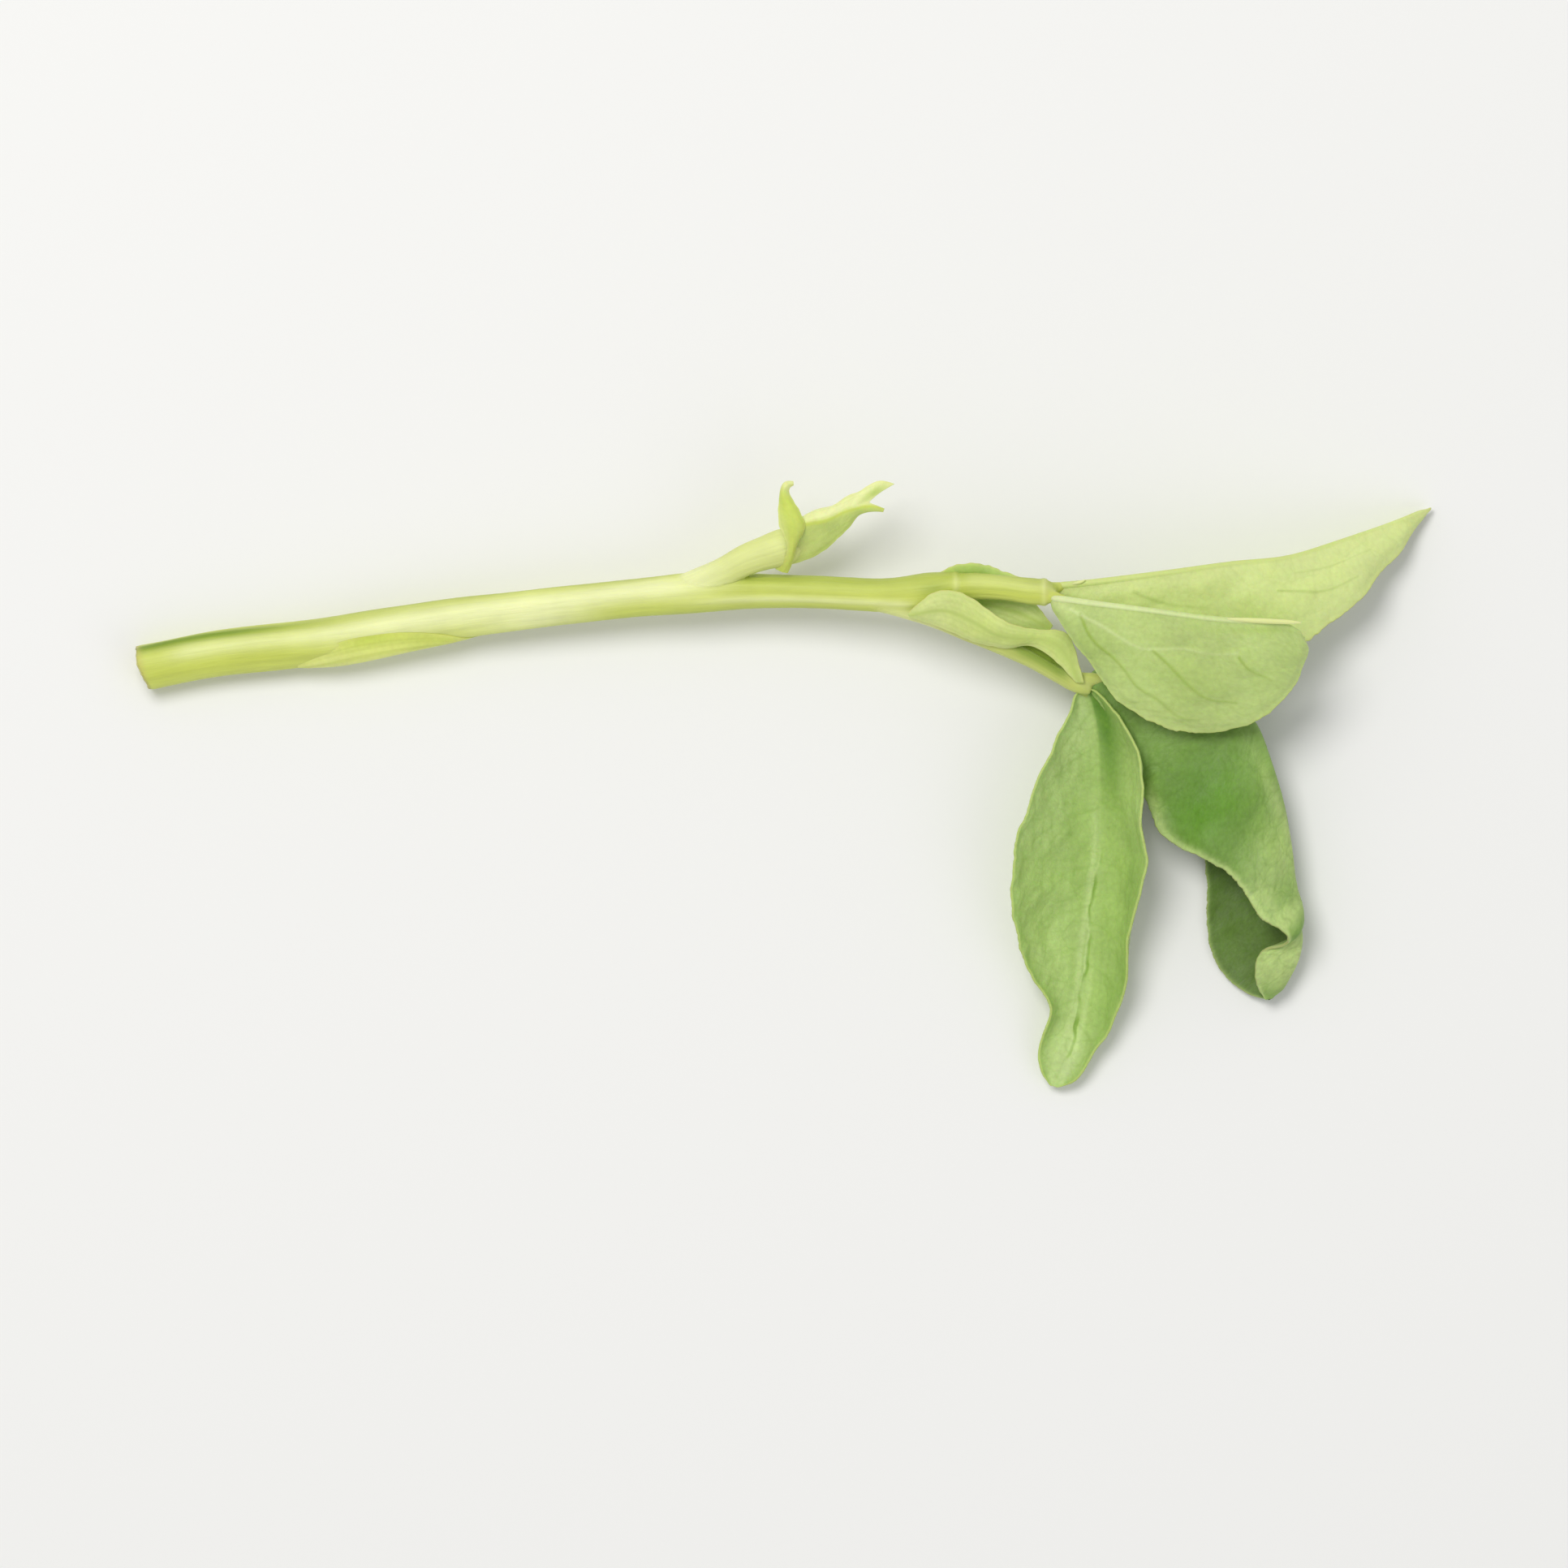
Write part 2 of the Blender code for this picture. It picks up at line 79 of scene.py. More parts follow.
# Short stalks that carry the stem's tissue on into the fold of each leaflet
FRONT_STALK = (
    (18.2, 13.75, 7.6, 0.55), (19.1, 13.5, 7.95, 0.48), (19.9, 13.3, 8.2, 0.32), (20.8, 13.1, 8.4, 0.18),
    (22.0, 12.9, 8.6, 0.08),
)
BACK_STALK = (
    (18.2, 13.8, 7.6, 0.55), (19.1, 14.0, 7.4, 0.48), (19.9, 14.2, 7.25, 0.32), (20.8, 14.35, 7.15, 0.18),
    (22.0, 14.4, 7.1, 0.08),
)
TROUGH_STALK = (
    (20.4, 7.5, 4.4, 0.62), (21.3, 6.9, 3.95, 0.46), (21.9, 5.9, 3.3, 0.32), (22.2, 4.6, 2.7, 0.20),
    (22.4, 3.0, 2.2, 0.10),
)
DROOPING_STALK = (
    (20.4, 7.6, 4.5, 0.62), (21.8, 7.6, 4.6, 0.50), (23.6, 7.8, 4.4, 0.38), (26.0, 7.6, 4.2, 0.22),
    (29.0, 6.7, 4.15, 0.10),
)

# Lowest heights of the stem's skin and of the blades
FLOOR = 0.0
LOWEST = 0.02

# The stem's four ribs and their edges as shares of its radius, their turn round it, and its fine ribs,
# each by height, count round the stem and share of the wander
RIB_HEIGHT = 0.05
RIB_EDGE = 0.018
RIB_TURN = 0.35
FINE_RIBS = ((0.007, 13, 1), (0.005, 21, -2))

# The cut: y of its top edge, where its curve starts below that, the curve and its power, how far it leans,
# how many rings it moves, and the share of the skin's outline that the cut face fills
CUT_TOP = 10.0
CUT_BEND = 1.2
CUT_CURVE = 0.40
CUT_POWER = 1.15
CUT_LEAN = 0.16
CUT_RINGS = 10
CUT_INSET = 0.955

# Points round a stem, length between its rings, cells of the fused skin, passes that smooth it and the
# share of the way that a point moves in each
STEM_SIDES = 64
RING_STEP = 0.2
VOXEL = 0.11
SMOOTHING = 10
SMOOTH_SHARE = 0.5

# Where the tubes of the skin meet: points looked up along a middle line, the least radius that distances
# are measured by, and the width of the change from one tube to the next. Then the radius that the fibres'
# pattern runs at.
LINE_POINTS = 500
LEAST_RADIUS = 0.5
CHANGE_WIDTH = 0.25
PATTERN_RADIUS = 1.4

# Places of the upper node and of the ring at the stem's end, along x
NODE_X = 12.3
END_RING_X = 18.65

# Bands on the fused skin: the tube that carries it, its angle and width round the tube, its amount, and
# ramps by x or by length along the tube, each smooth from 0 at its first place to 1 at its second
STEM_TUBE, SIDE_TUBE, PETIOLE_TUBE = range(3)
COLLAR = (SIDE_TUBE, -1.3, 0.9, 1.0, ("x", -0.5, -2.5), ("x", -6.4, -4.6))
# A rib on the stem's right side past the side stalk: raised in the skin, and painted pale along it as a
# painted highlight
PALE_RIB = (STEM_TUBE, -0.52, 0.26, 1.0, ("x", -9, -2), ("x", 10.5, 8.0))
CHANNEL = (PETIOLE_TUBE, 0.75, 0.50, 1.0, ("x", 14.8, 17.0), ("x", 20.6, 19.4))
# Painted shade on the petiole's left side, under the front stipule's margin and along its channel
CHANNEL_SHADE = (PETIOLE_TUBE, 0.50, 0.80, 1.0, ("x", 15.4, 17.2), ("x", 21.0, 19.4))
DEEP_BANDS = (
    # The first three rows are painted shade along the stem's left edge: broad near the cut, thin further on
    (STEM_TUBE, 1.08, 0.42, 0.85, ("length", 15, 5)),
    (STEM_TUBE, 1.08, 0.42, 0.20, ("length", 26, 12)),
    (STEM_TUBE, 1.60, 0.25, 0.30, ("length", 6, 20)),
    (STEM_TUBE, -1.30, 0.50, 0.06),
    (STEM_TUBE, -1.30, 0.50, 0.22, ("x", -17, -9)),
    (STEM_TUBE, 0.95, 0.75, 0.33, ("x", -8, -2)),
    (STEM_TUBE, -0.15, 0.25, 0.15, ("x", 12.8, 13.6), ("x", 18.4, 16.5)),
    (SIDE_TUBE, -1.60, 0.40, 0.25),
)
PALE_BANDS = (
    # The first two rows are painted highlights: a streak along the stem's top near the cut, and a band on its
    # right side before the side stalk
    (STEM_TUBE, 0.30, 0.35, 0.55, ("length", 1, 4), ("length", 22, 12)),
    (STEM_TUBE, -0.80, 0.55, 0.75, ("length", 20, 30), ("x", -11, -18)),
    (STEM_TUBE, 0.60, 0.70, 0.20, ("x", 12.6, 13.6)),
)

# Scale leaf pressed on the lower stem: its ends as shares of the stem's length, the angle of its middle,
# its near margin as share of its length and angle, its height off the ribs and its depth in the skin
PRESSED_FROM = 0.165
PRESSED_TO = 0.372
PRESSED_MIDDLE = -1.7
PRESSED_MARGIN = (
    (0.0, -0.85), (0.08, -0.60), (0.18, -0.30), (0.30, -0.06), (0.54, -0.10), (0.76, -0.55), (0.90, -1.20),
    (1.0, -1.62),
)
PRESSED_PASSES = 60
PRESSED_LIFT = 0.20
PRESSED_SINK = 0.09
PRESSED_BASE_SINK = 0.14

# Blades: wall, distance of the inner face from the lines, rows and columns of a grid, how much closer the
# rows lie at the ends and the columns at the fold, points round a margin, rings of a rounded end, and
# passes that ease the normals
BLADE_WALL = 0.36
BLADE_CLEAR = 0.12
LEAF_GRID = (261, 181)
SMALL_GRID = (91, 45)
ROW_CROWDING = 0.4
COLUMN_CROWDING = 1.1
RIM_POINTS = 3
NOSE_STEPS = 3
NORMAL_PASSES = 10

# Leaflets: height and length of their soft swells, height of veins and of the crease, waves of the margin
# by height and length, and how far those reach in. The small blades have a swell and a margin of their own.
LEAF_SWELLS = ((0.10, 7.0), (0.045, 2.6), (0.012, 0.9))
VEIN_HEIGHT = 0.03
CREASE_HEIGHT = 0.07
LEAF_NIBBLES = ((0.028, 1.7), (0.020, 0.5))
LEAF_NIBBLE_REACH = 0.8
SMALL_SWELL = (0.04, 2.4)
SMALL_NIBBLE = (0.02, 0.9)
SMALL_NIBBLE_REACH = 0.5

# Lateral veins: where the first and the last leave the fold, how far out they and their branches go, the
# range of u they keep to, and the points of a line, also of one that is drawn where it shows
FIRST_VEIN = 0.05
LAST_VEIN = 0.80
VEIN_REACH = 0.93
BRANCH_REACH = 0.88
VEIN_ENDS = (0.01, 0.985)
VEIN_POINTS = 70
DRAWN_POINTS = 90

# Distances that keep apart the patterns of a blade's two faces, the waves of its two margins, and the
# fibres of the tubes
FACE_SHIFT = (0, 0, 9.0)
LEAF_MARGIN_SHIFT = 40
SMALL_MARGIN_SHIFT = 20
TUBE_SHIFTS = (0.0, 40.0, 80.0)

# Lines of the blades, from base to tip: the fold and the near and far margins
TROUGH_FOLD = (
    (21.5, 7.0, 4.4), (22.1, 5.0, 3.7), (22.5, 0.9, 2.5), (22.5, -5.6, 1.3), (21.8, -10.6, 0.8),
    (21.4, -14.6, 0.67), (20.7, -17.8, 0.67), (19.8, -20.4, 0.8), (19.4, -21.3, 0.9),
)
TROUGH_NEAR = (
    (21.2, 6.8, 4.5), (20.3, 4.4, 5.0), (18.9, 1.5, 5.6), (17.6, -2.0, 5.6), (16.4, -6.6, 5.0),
    (16.6, -9.4, 4.4), (17.3, -12.0, 3.6), (18.4, -13.9, 3.0), (19.2, -15.6, 2.5), (19.1, -16.8, 2.2),
    (18.6, -18.4, 1.8), (18.6, -19.8, 1.5), (19.1, -21.2, 1.1),
)
TROUGH_FAR = (
    (21.8, 6.9, 4.5), (22.8, 6.0, 5.0), (24.0, 4.2, 5.8), (25.0, 2.1, 6.3), (25.4, -0.8, 6.5),
    (25.4, -3.2, 6.3), (25.6, -5.4, 5.9), (25.1, -8.0, 5.3), (24.5, -11.8, 4.2), (24.0, -14.6, 3.2),
    (23.2, -16.8, 2.4), (22.1, -18.8, 1.8), (21.0, -20.6, 1.4), (19.9, -21.4, 1.1),
)
DROOPING_FOLD = (
    (21.8, 7.4, 4.3), (22.9, 7.95, 4.3), (24.6, 8.0, 4.2), (26.9, 7.4, 4.2), (29.8, 6.5, 4.2),
    (33.2, 4.3, 4.0), (34.1, 2.3, 3.8), (35.0, -0.5, 3.4), (35.55, -2.9, 3.0), (35.85, -5.8, 2.6),
    (35.75, -8.0, 2.35), (35.75, -9.2, 2.25), (36.25, -10.2, 2.15), (36.5, -11.1, 2.05), (36.4, -12.1, 1.9),
    (35.85, -13.4, 1.6), (34.9, -15.0, 1.4),
)
DROOPING_NEAR = (
    (22.0, 6.9, 4.2), (23.5, 4.9, 3.9), (25.0, 1.9, 3.8), (26.1, -1.0, 3.8), (27.2, -3.5, 4.0),
    (29.1, -4.6, 4.2), (30.7, -5.4, 4.3), (32.3, -6.6, 4.2), (33.3, -8.0, 4.1), (33.9, -9.1, 4.3),
    (34.9, -9.9, 4.5), (35.9, -10.6, 4.2), (35.2, -11.3, 3.5), (34.3, -11.7, 3.0), (33.8, -12.7, 2.7),
    (33.9, -14.0, 2.2), (34.4, -15.1, 1.6),
)
DROOPING_FAR = (
    (22.2, 7.2, 3.9), (25.8, 5.0, 2.9), (28.0, 1.5, 1.9), (29.5, -2.5, 1.1), (30.3, -5.8, 0.75),
    (30.4, -8.8, 0.68), (30.7, -11.8, 0.68), (32.3, -14.1, 0.8), (34.4, -15.2, 1.1),
)
FRONT_FOLD = (
    (19.0, 13.4, 8.2), (23.0, 12.8, 9.5), (26.9, 12.3, 10.3), (30.8, 11.8, 10.6), (33.7, 11.6, 10.5),
    (36.1, 11.2, 9.9), (37.0, 10.6, 9.3),
)
FRONT_NEAR = (
    (19.1, 13.1, 8.0), (20.0, 11.7, 7.8), (21.1, 10.0, 7.4), (22.7, 7.8, 7.0), (24.1, 6.1, 6.7),
    (25.9, 5.0, 6.4), (28.1, 4.1, 6.3), (29.8, 3.9, 6.3), (32.3, 4.4, 6.4), (34.1, 5.1, 6.7),
    (35.6, 6.2, 7.1), (36.5, 7.4, 7.6), (37.0, 8.6, 8.1), (37.2, 9.7, 8.7), (37.1, 10.4, 9.1),
)
FRONT_FAR = (
    (19.1, 13.2, 7.9), (21.4, 11.6, 7.6), (23.3, 10.0, 7.1), (25.5, 8.8, 6.9), (28.3, 8.1, 6.8),
    (31.5, 8.1, 7.0), (34.3, 8.9, 7.4), (36.2, 9.7, 8.1), (37.0, 10.3, 8.8),
)
BACK_FOLD = (
    (19.0, 14.2, 7.3), (21.5, 14.4, 7.3), (25.0, 14.8, 7.4), (28.9, 15.3, 7.1), (32.8, 15.8, 6.4),
    (35.7, 16.1, 5.7), (38.6, 16.9, 4.6), (41.5, 17.9, 3.3), (44.4, 19.0, 1.8), (46.2, 19.8, 0.75),
)
BACK_NEAR = (
    (19.1, 14.0, 6.9), (22.5, 11.9, 5.9), (26.7, 9.9, 5.6), (30.9, 9.2, 5.4), (35.1, 9.5, 5.1),
    (37.8, 10.8, 4.8), (39.2, 11.9, 4.5), (40.5, 13.0, 4.1), (42.4, 15.0, 3.2), (43.8, 16.6, 2.2),
    (45.0, 18.5, 1.2), (46.2, 19.7, 0.65),
)
BACK_FAR = (
    (19.1, 14.1, 6.7), (22.5, 13.0, 5.2), (26.7, 11.9, 4.2), (30.9, 11.4, 3.5), (35.1, 11.7, 2.9),
    (38.5, 13.0, 2.2), (41.0, 14.6, 1.6), (43.2, 16.5, 0.9), (45.0, 18.6, 0.48), (46.2, 19.75, 0.48),
)
STIPULE_FRONT_UPPER = (
    (9.0, 12.4, 6.7), (9.9, 13.15, 7.3), (10.9, 13.8, 7.7), (12.3, 13.85, 7.8), (13.7, 13.2, 7.7),
    (15.0, 12.25, 7.4), (16.3, 11.5, 7.1), (17.8, 11.15, 6.7), (19.0, 11.05, 6.4), (19.9, 10.95, 6.2),
    (20.6, 10.2, 6.0), (21.0, 8.9, 5.8), (21.45, 7.5, 5.3),
)
STIPULE_FRONT_LOWER = (
    (9.1, 12.1, 6.5), (11.7, 11.2, 6.3), (14.2, 10.2, 6.0), (16.2, 10.0, 5.9), (17.4, 10.15, 5.95),
    (18.5, 9.75, 5.95), (19.4, 9.05, 5.85), (20.2, 8.3, 5.6), (20.95, 7.5, 5.2),
)
STIPULE_BACK_UPPER = (
    (11.0, 15.1, 5.6), (12.3, 15.7, 5.9), (14.2, 15.75, 5.9), (15.8, 15.2, 5.8), (18.3, 14.5, 5.9),
)
STIPULE_BACK_LOWER = (
    (11.0, 14.7, 5.3), (12.6, 14.4, 4.9), (14.6, 14.1, 4.8), (16.4, 14.0, 5.0), (18.2, 14.1, 5.6),
)
STIPULE_SMALL_UPPER = (
    (12.9, 13.5, 5.1), (14.6, 13.5, 5.35), (16.4, 13.4, 5.9), (17.9, 12.9, 6.3), (18.7, 12.0, 6.2),
    (19.2, 11.4, 5.9),
)
STIPULE_SMALL_LOWER = (
    (12.9, 12.6, 5.0), (14.6, 12.15, 5.25), (16.2, 11.5, 5.5), (17.6, 11.0, 5.7), (19.0, 11.1, 5.75),
)
SHEATH_FOLD = (
    (0.55, 18.05, 6.6), (1.5, 18.6, 6.95), (2.75, 18.9, 7.1), (4.0, 19.35, 7.2), (5.1, 19.8, 7.3),
    (6.2, 19.95, 7.3), (7.2, 19.78, 7.2),
)
SHEATH_NEAR = (
    (-0.1, 15.7, 4.9), (2.33, 16.45, 5.3), (3.6, 17.35, 5.8), (4.65, 18.5, 6.4), (5.4, 19.35, 6.8),
    (6.1, 19.68, 7.0), (7.2, 19.72, 7.1),
)
SHEATH_FAR = (
    (0.9, 18.75, 6.0), (2.5, 19.55, 6.5), (3.6, 19.95, 6.9), (4.65, 20.55, 7.1), (5.7, 21.1, 7.4),
    (6.55, 21.6, 7.5), (7.2, 21.7, 7.5), (7.9, 21.5, 7.4),
)
HOOK_FOLD = (
    (0.12, 15.3, 5.2), (0.62, 16.5, 6.5), (0.80, 17.5, 7.2), (0.85, 18.5, 7.6), (0.45, 19.6, 7.7),
    (0.08, 20.6, 7.75), (0.12, 21.15, 7.8), (0.36, 21.45, 7.75), (0.72, 21.52, 7.6),
)
HOOK_NEAR = (
    (0.32, 15.25, 5.1), (0.84, 16.5, 6.2), (1.12, 17.5, 6.9), (1.52, 18.35, 7.15), (1.22, 19.3, 7.25),
    (0.60, 20.4, 7.4), (0.40, 21.0, 7.5), (0.50, 21.28, 7.5), (0.74, 21.46, 7.5),
)
HOOK_FAR = (
    (-0.45, 15.5, 5.0), (0.40, 16.5, 6.3), (0.34, 17.3, 6.85), (-0.06, 18.2, 7.1), (-0.22, 19.3, 7.2),
    (-0.25, 20.4, 7.3), (-0.12, 21.1, 7.45), (0.20, 21.56, 7.55), (0.72, 21.62, 7.5),
)

# Points in which the keels run out: x, y, z and radius
FRONT_SPUR = (
    (31.0, 11.85, 10.68, 0.08), (32.6, 11.80, 10.84, 0.16), (34.2, 11.72, 10.84, 0.19),
    (35.6, 11.66, 10.62, 0.17), (36.4, 11.62, 10.42, 0.12), (36.85, 11.6, 10.32, 0.05),
)
BACK_SPUR = (
    (20.6, 14.36, 7.5, 0.05), (21.05, 14.46, 7.6, 0.12), (21.35, 14.56, 7.64, 0.10),
    (21.55, 14.68, 7.66, 0.04),
)

# Rings and sides of the spurs
SPUR_RINGS = 60
SPUR_SIDES = 16

# Veins that show from above, as x and y, with their width and depth of colour
FRONT_RIB = (
    ((20.6, 12.6), (22.0, 11.9), (23.9, 10.8), (25.9, 9.9), (27.7, 9.9), (30.3, 9.5), (32.4, 9.5)), 0.11, 0.6,
)
FRONT_VEINS = (
    (
        (
            (21.3, 12.3), (21.8, 11.2), (22.9, 9.9), (24.3, 8.5), (25.4, 7.2), (27.0, 6.2), (28.2, 5.2),
            (29.6, 4.9),
        ), 0.09, 1.0,
    ),
    (((26.4, 9.8), (27.7, 8.6), (28.9, 7.4), (30.0, 6.5), (31.3, 6.2), (32.3, 6.1)), 0.09, 1.0),
    (((32.5, 9.3), (33.1, 8.6), (33.9, 8.1), (34.7, 7.7)), 0.08, 0.9),
)
BACK_VEINS = (
    (((35.2, 13.9), (37.0, 13.8), (38.7, 14.0), (40.8, 14.9)), 0.07, 0.7),
    (((25.0, 13.9), (27.5, 13.05), (30.2, 12.75)), 0.13, 0.45),
    (((36.5, 15.2), (39.0, 15.6), (41.8, 16.9)), 0.08, 0.3),
)

# Colours as linear values, and how far light of each colour goes in the tissue
# STEM_DEEP and STEM_PALE give the stem's own tones, and also its painted shade and painted highlights
STEM_MIDDLE = (0.62, 0.69, 0.13)
STEM_PALE = (0.86, 0.90, 0.46)
STEM_DEEP = (0.205, 0.32, 0.010)
STEM_TAN = (0.60, 0.55, 0.16)
CUT_FLESH = (0.60, 0.64, 0.20)
CUT_PITH = (0.70, 0.74, 0.34)
CUT_RIM = (0.55, 0.48, 0.20)
# The trough leaflet's colours are raised to stand in for light that shines through its walls: painted light
TROUGH_LEAF = {
    "upper": (0.40, 0.57, 0.152), "under": (0.48, 0.60, 0.21), "deep": (0.080, 0.235, 0.002),
    "pale": (0.60, 0.74, 0.31), "wax": (0.56, 0.68, 0.36), "vein": (0.24, 0.42, 0.05),
    "rib": (0.54, 0.68, 0.24), "margin": (0.47, 0.63, 0.17), "edge": (0.47, 0.52, 0.14),
}
# Its under and dull colours are painted shade: darker than its upper side, for the far half that lies in
# shade under the near half
DROOPING_LEAF = {
    "upper": (0.195, 0.35, 0.060), "under": (0.12, 0.20, 0.045), "deep": (0.095, 0.26, 0.002),
    "pale": (0.60, 0.74, 0.27), "dull": (0.085, 0.168, 0.010), "wax": (0.34, 0.46, 0.22),
    "vein": (0.13, 0.26, 0.025), "rib": (0.36, 0.52, 0.16), "margin": (0.46, 0.58, 0.22),
    "edge": (0.36, 0.36, 0.13),
}
# Its deep colour also serves as a painted shadow line beside the keel
FRONT_LEAF = {
    "upper": (0.30, 0.46, 0.09), "under": (0.505, 0.65, 0.205), "deep": (0.40, 0.56, 0.10),
    "pale": (0.62, 0.73, 0.28), "wax": (0.66, 0.75, 0.40), "vein": (0.31, 0.45, 0.055),
    "rib": (0.80, 0.87, 0.48), "margin": (0.60, 0.70, 0.22), "edge": (0.56, 0.50, 0.16),
}
# Brighter than the front leaflet's colours, to stand in for light that shines through the folded blade:
# painted light
BACK_LEAF = {
    "upper": (0.34, 0.50, 0.10), "under": (0.66, 0.77, 0.27), "deep": (0.50, 0.65, 0.17),
    "pale": (0.74, 0.83, 0.34), "wax": (0.74, 0.81, 0.46), "vein": (0.33, 0.45, 0.08),
    "rib": (0.62, 0.71, 0.24), "margin": (0.60, 0.66, 0.20), "edge": (0.58, 0.52, 0.18),
}
STIPULE_LEAF = {
    "upper": (0.40, 0.53, 0.12), "under": (0.64, 0.745, 0.225), "deep": (0.33, 0.50, 0.10),
    "pale": (0.76, 0.83, 0.35), "wax": (0.70, 0.78, 0.40), "vein": (0.46, 0.58, 0.13),
    "rib": (0.54, 0.65, 0.18), "margin": (0.66, 0.74, 0.27), "edge": (0.62, 0.56, 0.20),
}
SHEATH_LEAF = {
    "upper": (0.50, 0.60, 0.15), "under": (0.60, 0.69, 0.12), "deep": (0.59, 0.68, 0.20),
    "pale": (0.87, 0.91, 0.46), "dull": (0.50, 0.60, 0.14), "wax": (0.72, 0.78, 0.44),
    "vein": (0.50, 0.60, 0.13), "rib": (0.70, 0.78, 0.15), "margin": (0.80, 0.86, 0.32),
    "edge": (0.78, 0.82, 0.24),
}
# Its deep colour also serves as painted shade along the upper margin
PRESSED_LEAF = {
    "upper": (0.50, 0.58, 0.10), "under": (0.80, 0.89, 0.235), "deep": (0.54, 0.66, 0.08),
    "pale": (0.80, 0.86, 0.30), "wax": (0.76, 0.82, 0.38), "vein": (0.50, 0.58, 0.08),
    "rib": (0.60, 0.68, 0.12), "margin": (0.50, 0.58, 0.09), "edge": (0.52, 0.58, 0.09),
}
FLOOR_PAINT = (0.90, 0.90, 0.885)
FLOOR_PATCHES = tuple(0.985 * part for part in FLOOR_PAINT)
LEAF_SCATTER = (0.45, 0.9, 0.12)
STEM_SCATTER = (0.9, 1.0, 0.3)

# Floor, camera and light: lengths in metres, the sensor in millimetres and the strength of the daylight.
# A light has its name, place, size, power in watts and colour.
FLOOR_REACH = 1.5
FLOOR_LEVEL = -2e-5
CAMERA_AWAY = 2.0
CAMERA_NEAREST = 0.01
VIEW_WIDTH = 0.112
SENSOR = 36.0
DAYLIGHT = 0.50
LIGHTS = (
    ("window", (-0.16, 0.24, 0.60), 0.32, 2.3, (1.0, 0.99, 0.97)),
    ("fill", (0.40, -0.35, 0.45), 0.50, 0.45, (0.97, 0.99, 1.0)),
)


# Vectors and lines


def unit(vectors):
    """Vectors scaled to length 1."""
    return vectors / np.maximum(np.linalg.norm(vectors, axis=-1, keepdims=True), 1e-12)


def spline(points, u):
    """A natural cubic spline through the points, at u from 0 to 1 measured along the chords."""
    points = np.asarray(points, float)
    chords = np.linalg.norm(np.diff(points[:, :3], axis=0), axis=1)
    knots = np.concatenate(([0.0], np.cumsum(chords))) / chords.sum()
    gaps = np.diff(knots)
    slopes = np.diff(points, axis=0) / gaps[:, None]
    system = np.eye(len(points))
    turns = np.zeros_like(points)
    for i in range(1, len(points) - 1):
        system[i, i - 1:i + 2] = (gaps[i - 1], 2 * (gaps[i - 1] + gaps[i]), gaps[i])
        turns[i] = 6 * (slopes[i] - slopes[i - 1])
    bends = np.linalg.solve(system, turns)
    piece = np.clip(np.searchsorted(knots, u, side="right") - 1, 0, len(points) - 2)
    after = ((u - knots[piece]) / gaps[piece])[:, None]
    before = 1 - after
    bend = (before**3 - before) * bends[piece] + (after**3 - after) * bends[piece + 1]
    return before * points[piece] + after * points[piece + 1] + bend * gaps[piece][:, None] ** 2 / 6


def bell(x, middle, width):
    """A bell curve, 1 at the middle and 0.37 at one width from it."""
    return np.exp(-((x - middle) / width) ** 2)


def step(x, low, high):
    """Smooth rise from 0 at low to 1 at high: 3t^2 - 2t^3."""
    t = np.clip((x - low) / (high - low), 0, 1)
    return t * t * (3 - 2 * t)


def swell(points, size, seed, waves=12):
    """Smooth random height about 0: a sum of plane sine waves of about one length in seeded directions."""
    rng = np.random.default_rng(seed)
    directions = unit(rng.normal(size=(waves, points.shape[-1])))
    lengths = size * rng.uniform(0.6, 1.7, waves)
    phases = rng.uniform(0, 2 * np.pi, waves)
    turns = 2 * np.pi * points @ (directions / lengths[:, None]).T + phases
    return np.sin(turns).sum(axis=-1) / np.sqrt(waves / 2)


# Meshes


def make_piece(name, points, quads, triangles, fields, material):
    """A shown piece: its mesh faces outwards, rides with the shoot and carries its fields as attributes."""
    corners = points[np.concatenate([quads[:, [0, 1, 2]], quads[:, [0, 2, 3]], triangles])]
    volume = np.einsum("ij,ij->", corners[:, 0], np.cross(corners[:, 1], corners[:, 2]))
    if volume < 0:
        quads = quads[:, ::-1]
        triangles = triangles[:, ::-1]
    mesh = bpy.data.meshes.new(name)
    mesh.from_pydata((points * MM).tolist(), [], quads.tolist() + triangles.tolist())
    for key, values in fields.items():
        kind = "FLOAT" if values.ndim == 1 else "FLOAT_VECTOR"
        data = mesh.attributes.new(key, kind, "POINT").data
        data.foreach_set("value" if values.ndim == 1 else "vector", values.astype(np.float32).ravel())
    mesh.shade_smooth()
    mesh.materials.append(material)
    piece = bpy.data.objects.new(name, mesh)
    bpy.context.scene.collection.objects.link(piece)
    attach(piece, "root")
    return piece


def ring_quads(count, sides):
    """Quads between neighbouring closed rings."""
    i, j = np.meshgrid(np.arange(count - 1), np.arange(sides), indexing="ij")
    here = i * sides + j
    beside = i * sides + (j + 1) % sides
    return np.stack([here, here + sides, beside + sides, beside], axis=-1).reshape(-1, 4)


def ring_faces(count, sides):
    """Quads between closed rings, and a fan of triangles from each end ring to its pole."""
    quads = ring_quads(count, sides)
    j = np.arange(sides)
    after = (j + 1) % sides
    last = (count - 1) * sides
    first_pole = np.full(sides, count * sides)
    triangles = np.concatenate([
        np.stack([first_pole, j, after], axis=-1),
        np.stack([first_pole + 1, last + after, last + j], axis=-1),
    ])
    return quads, triangles


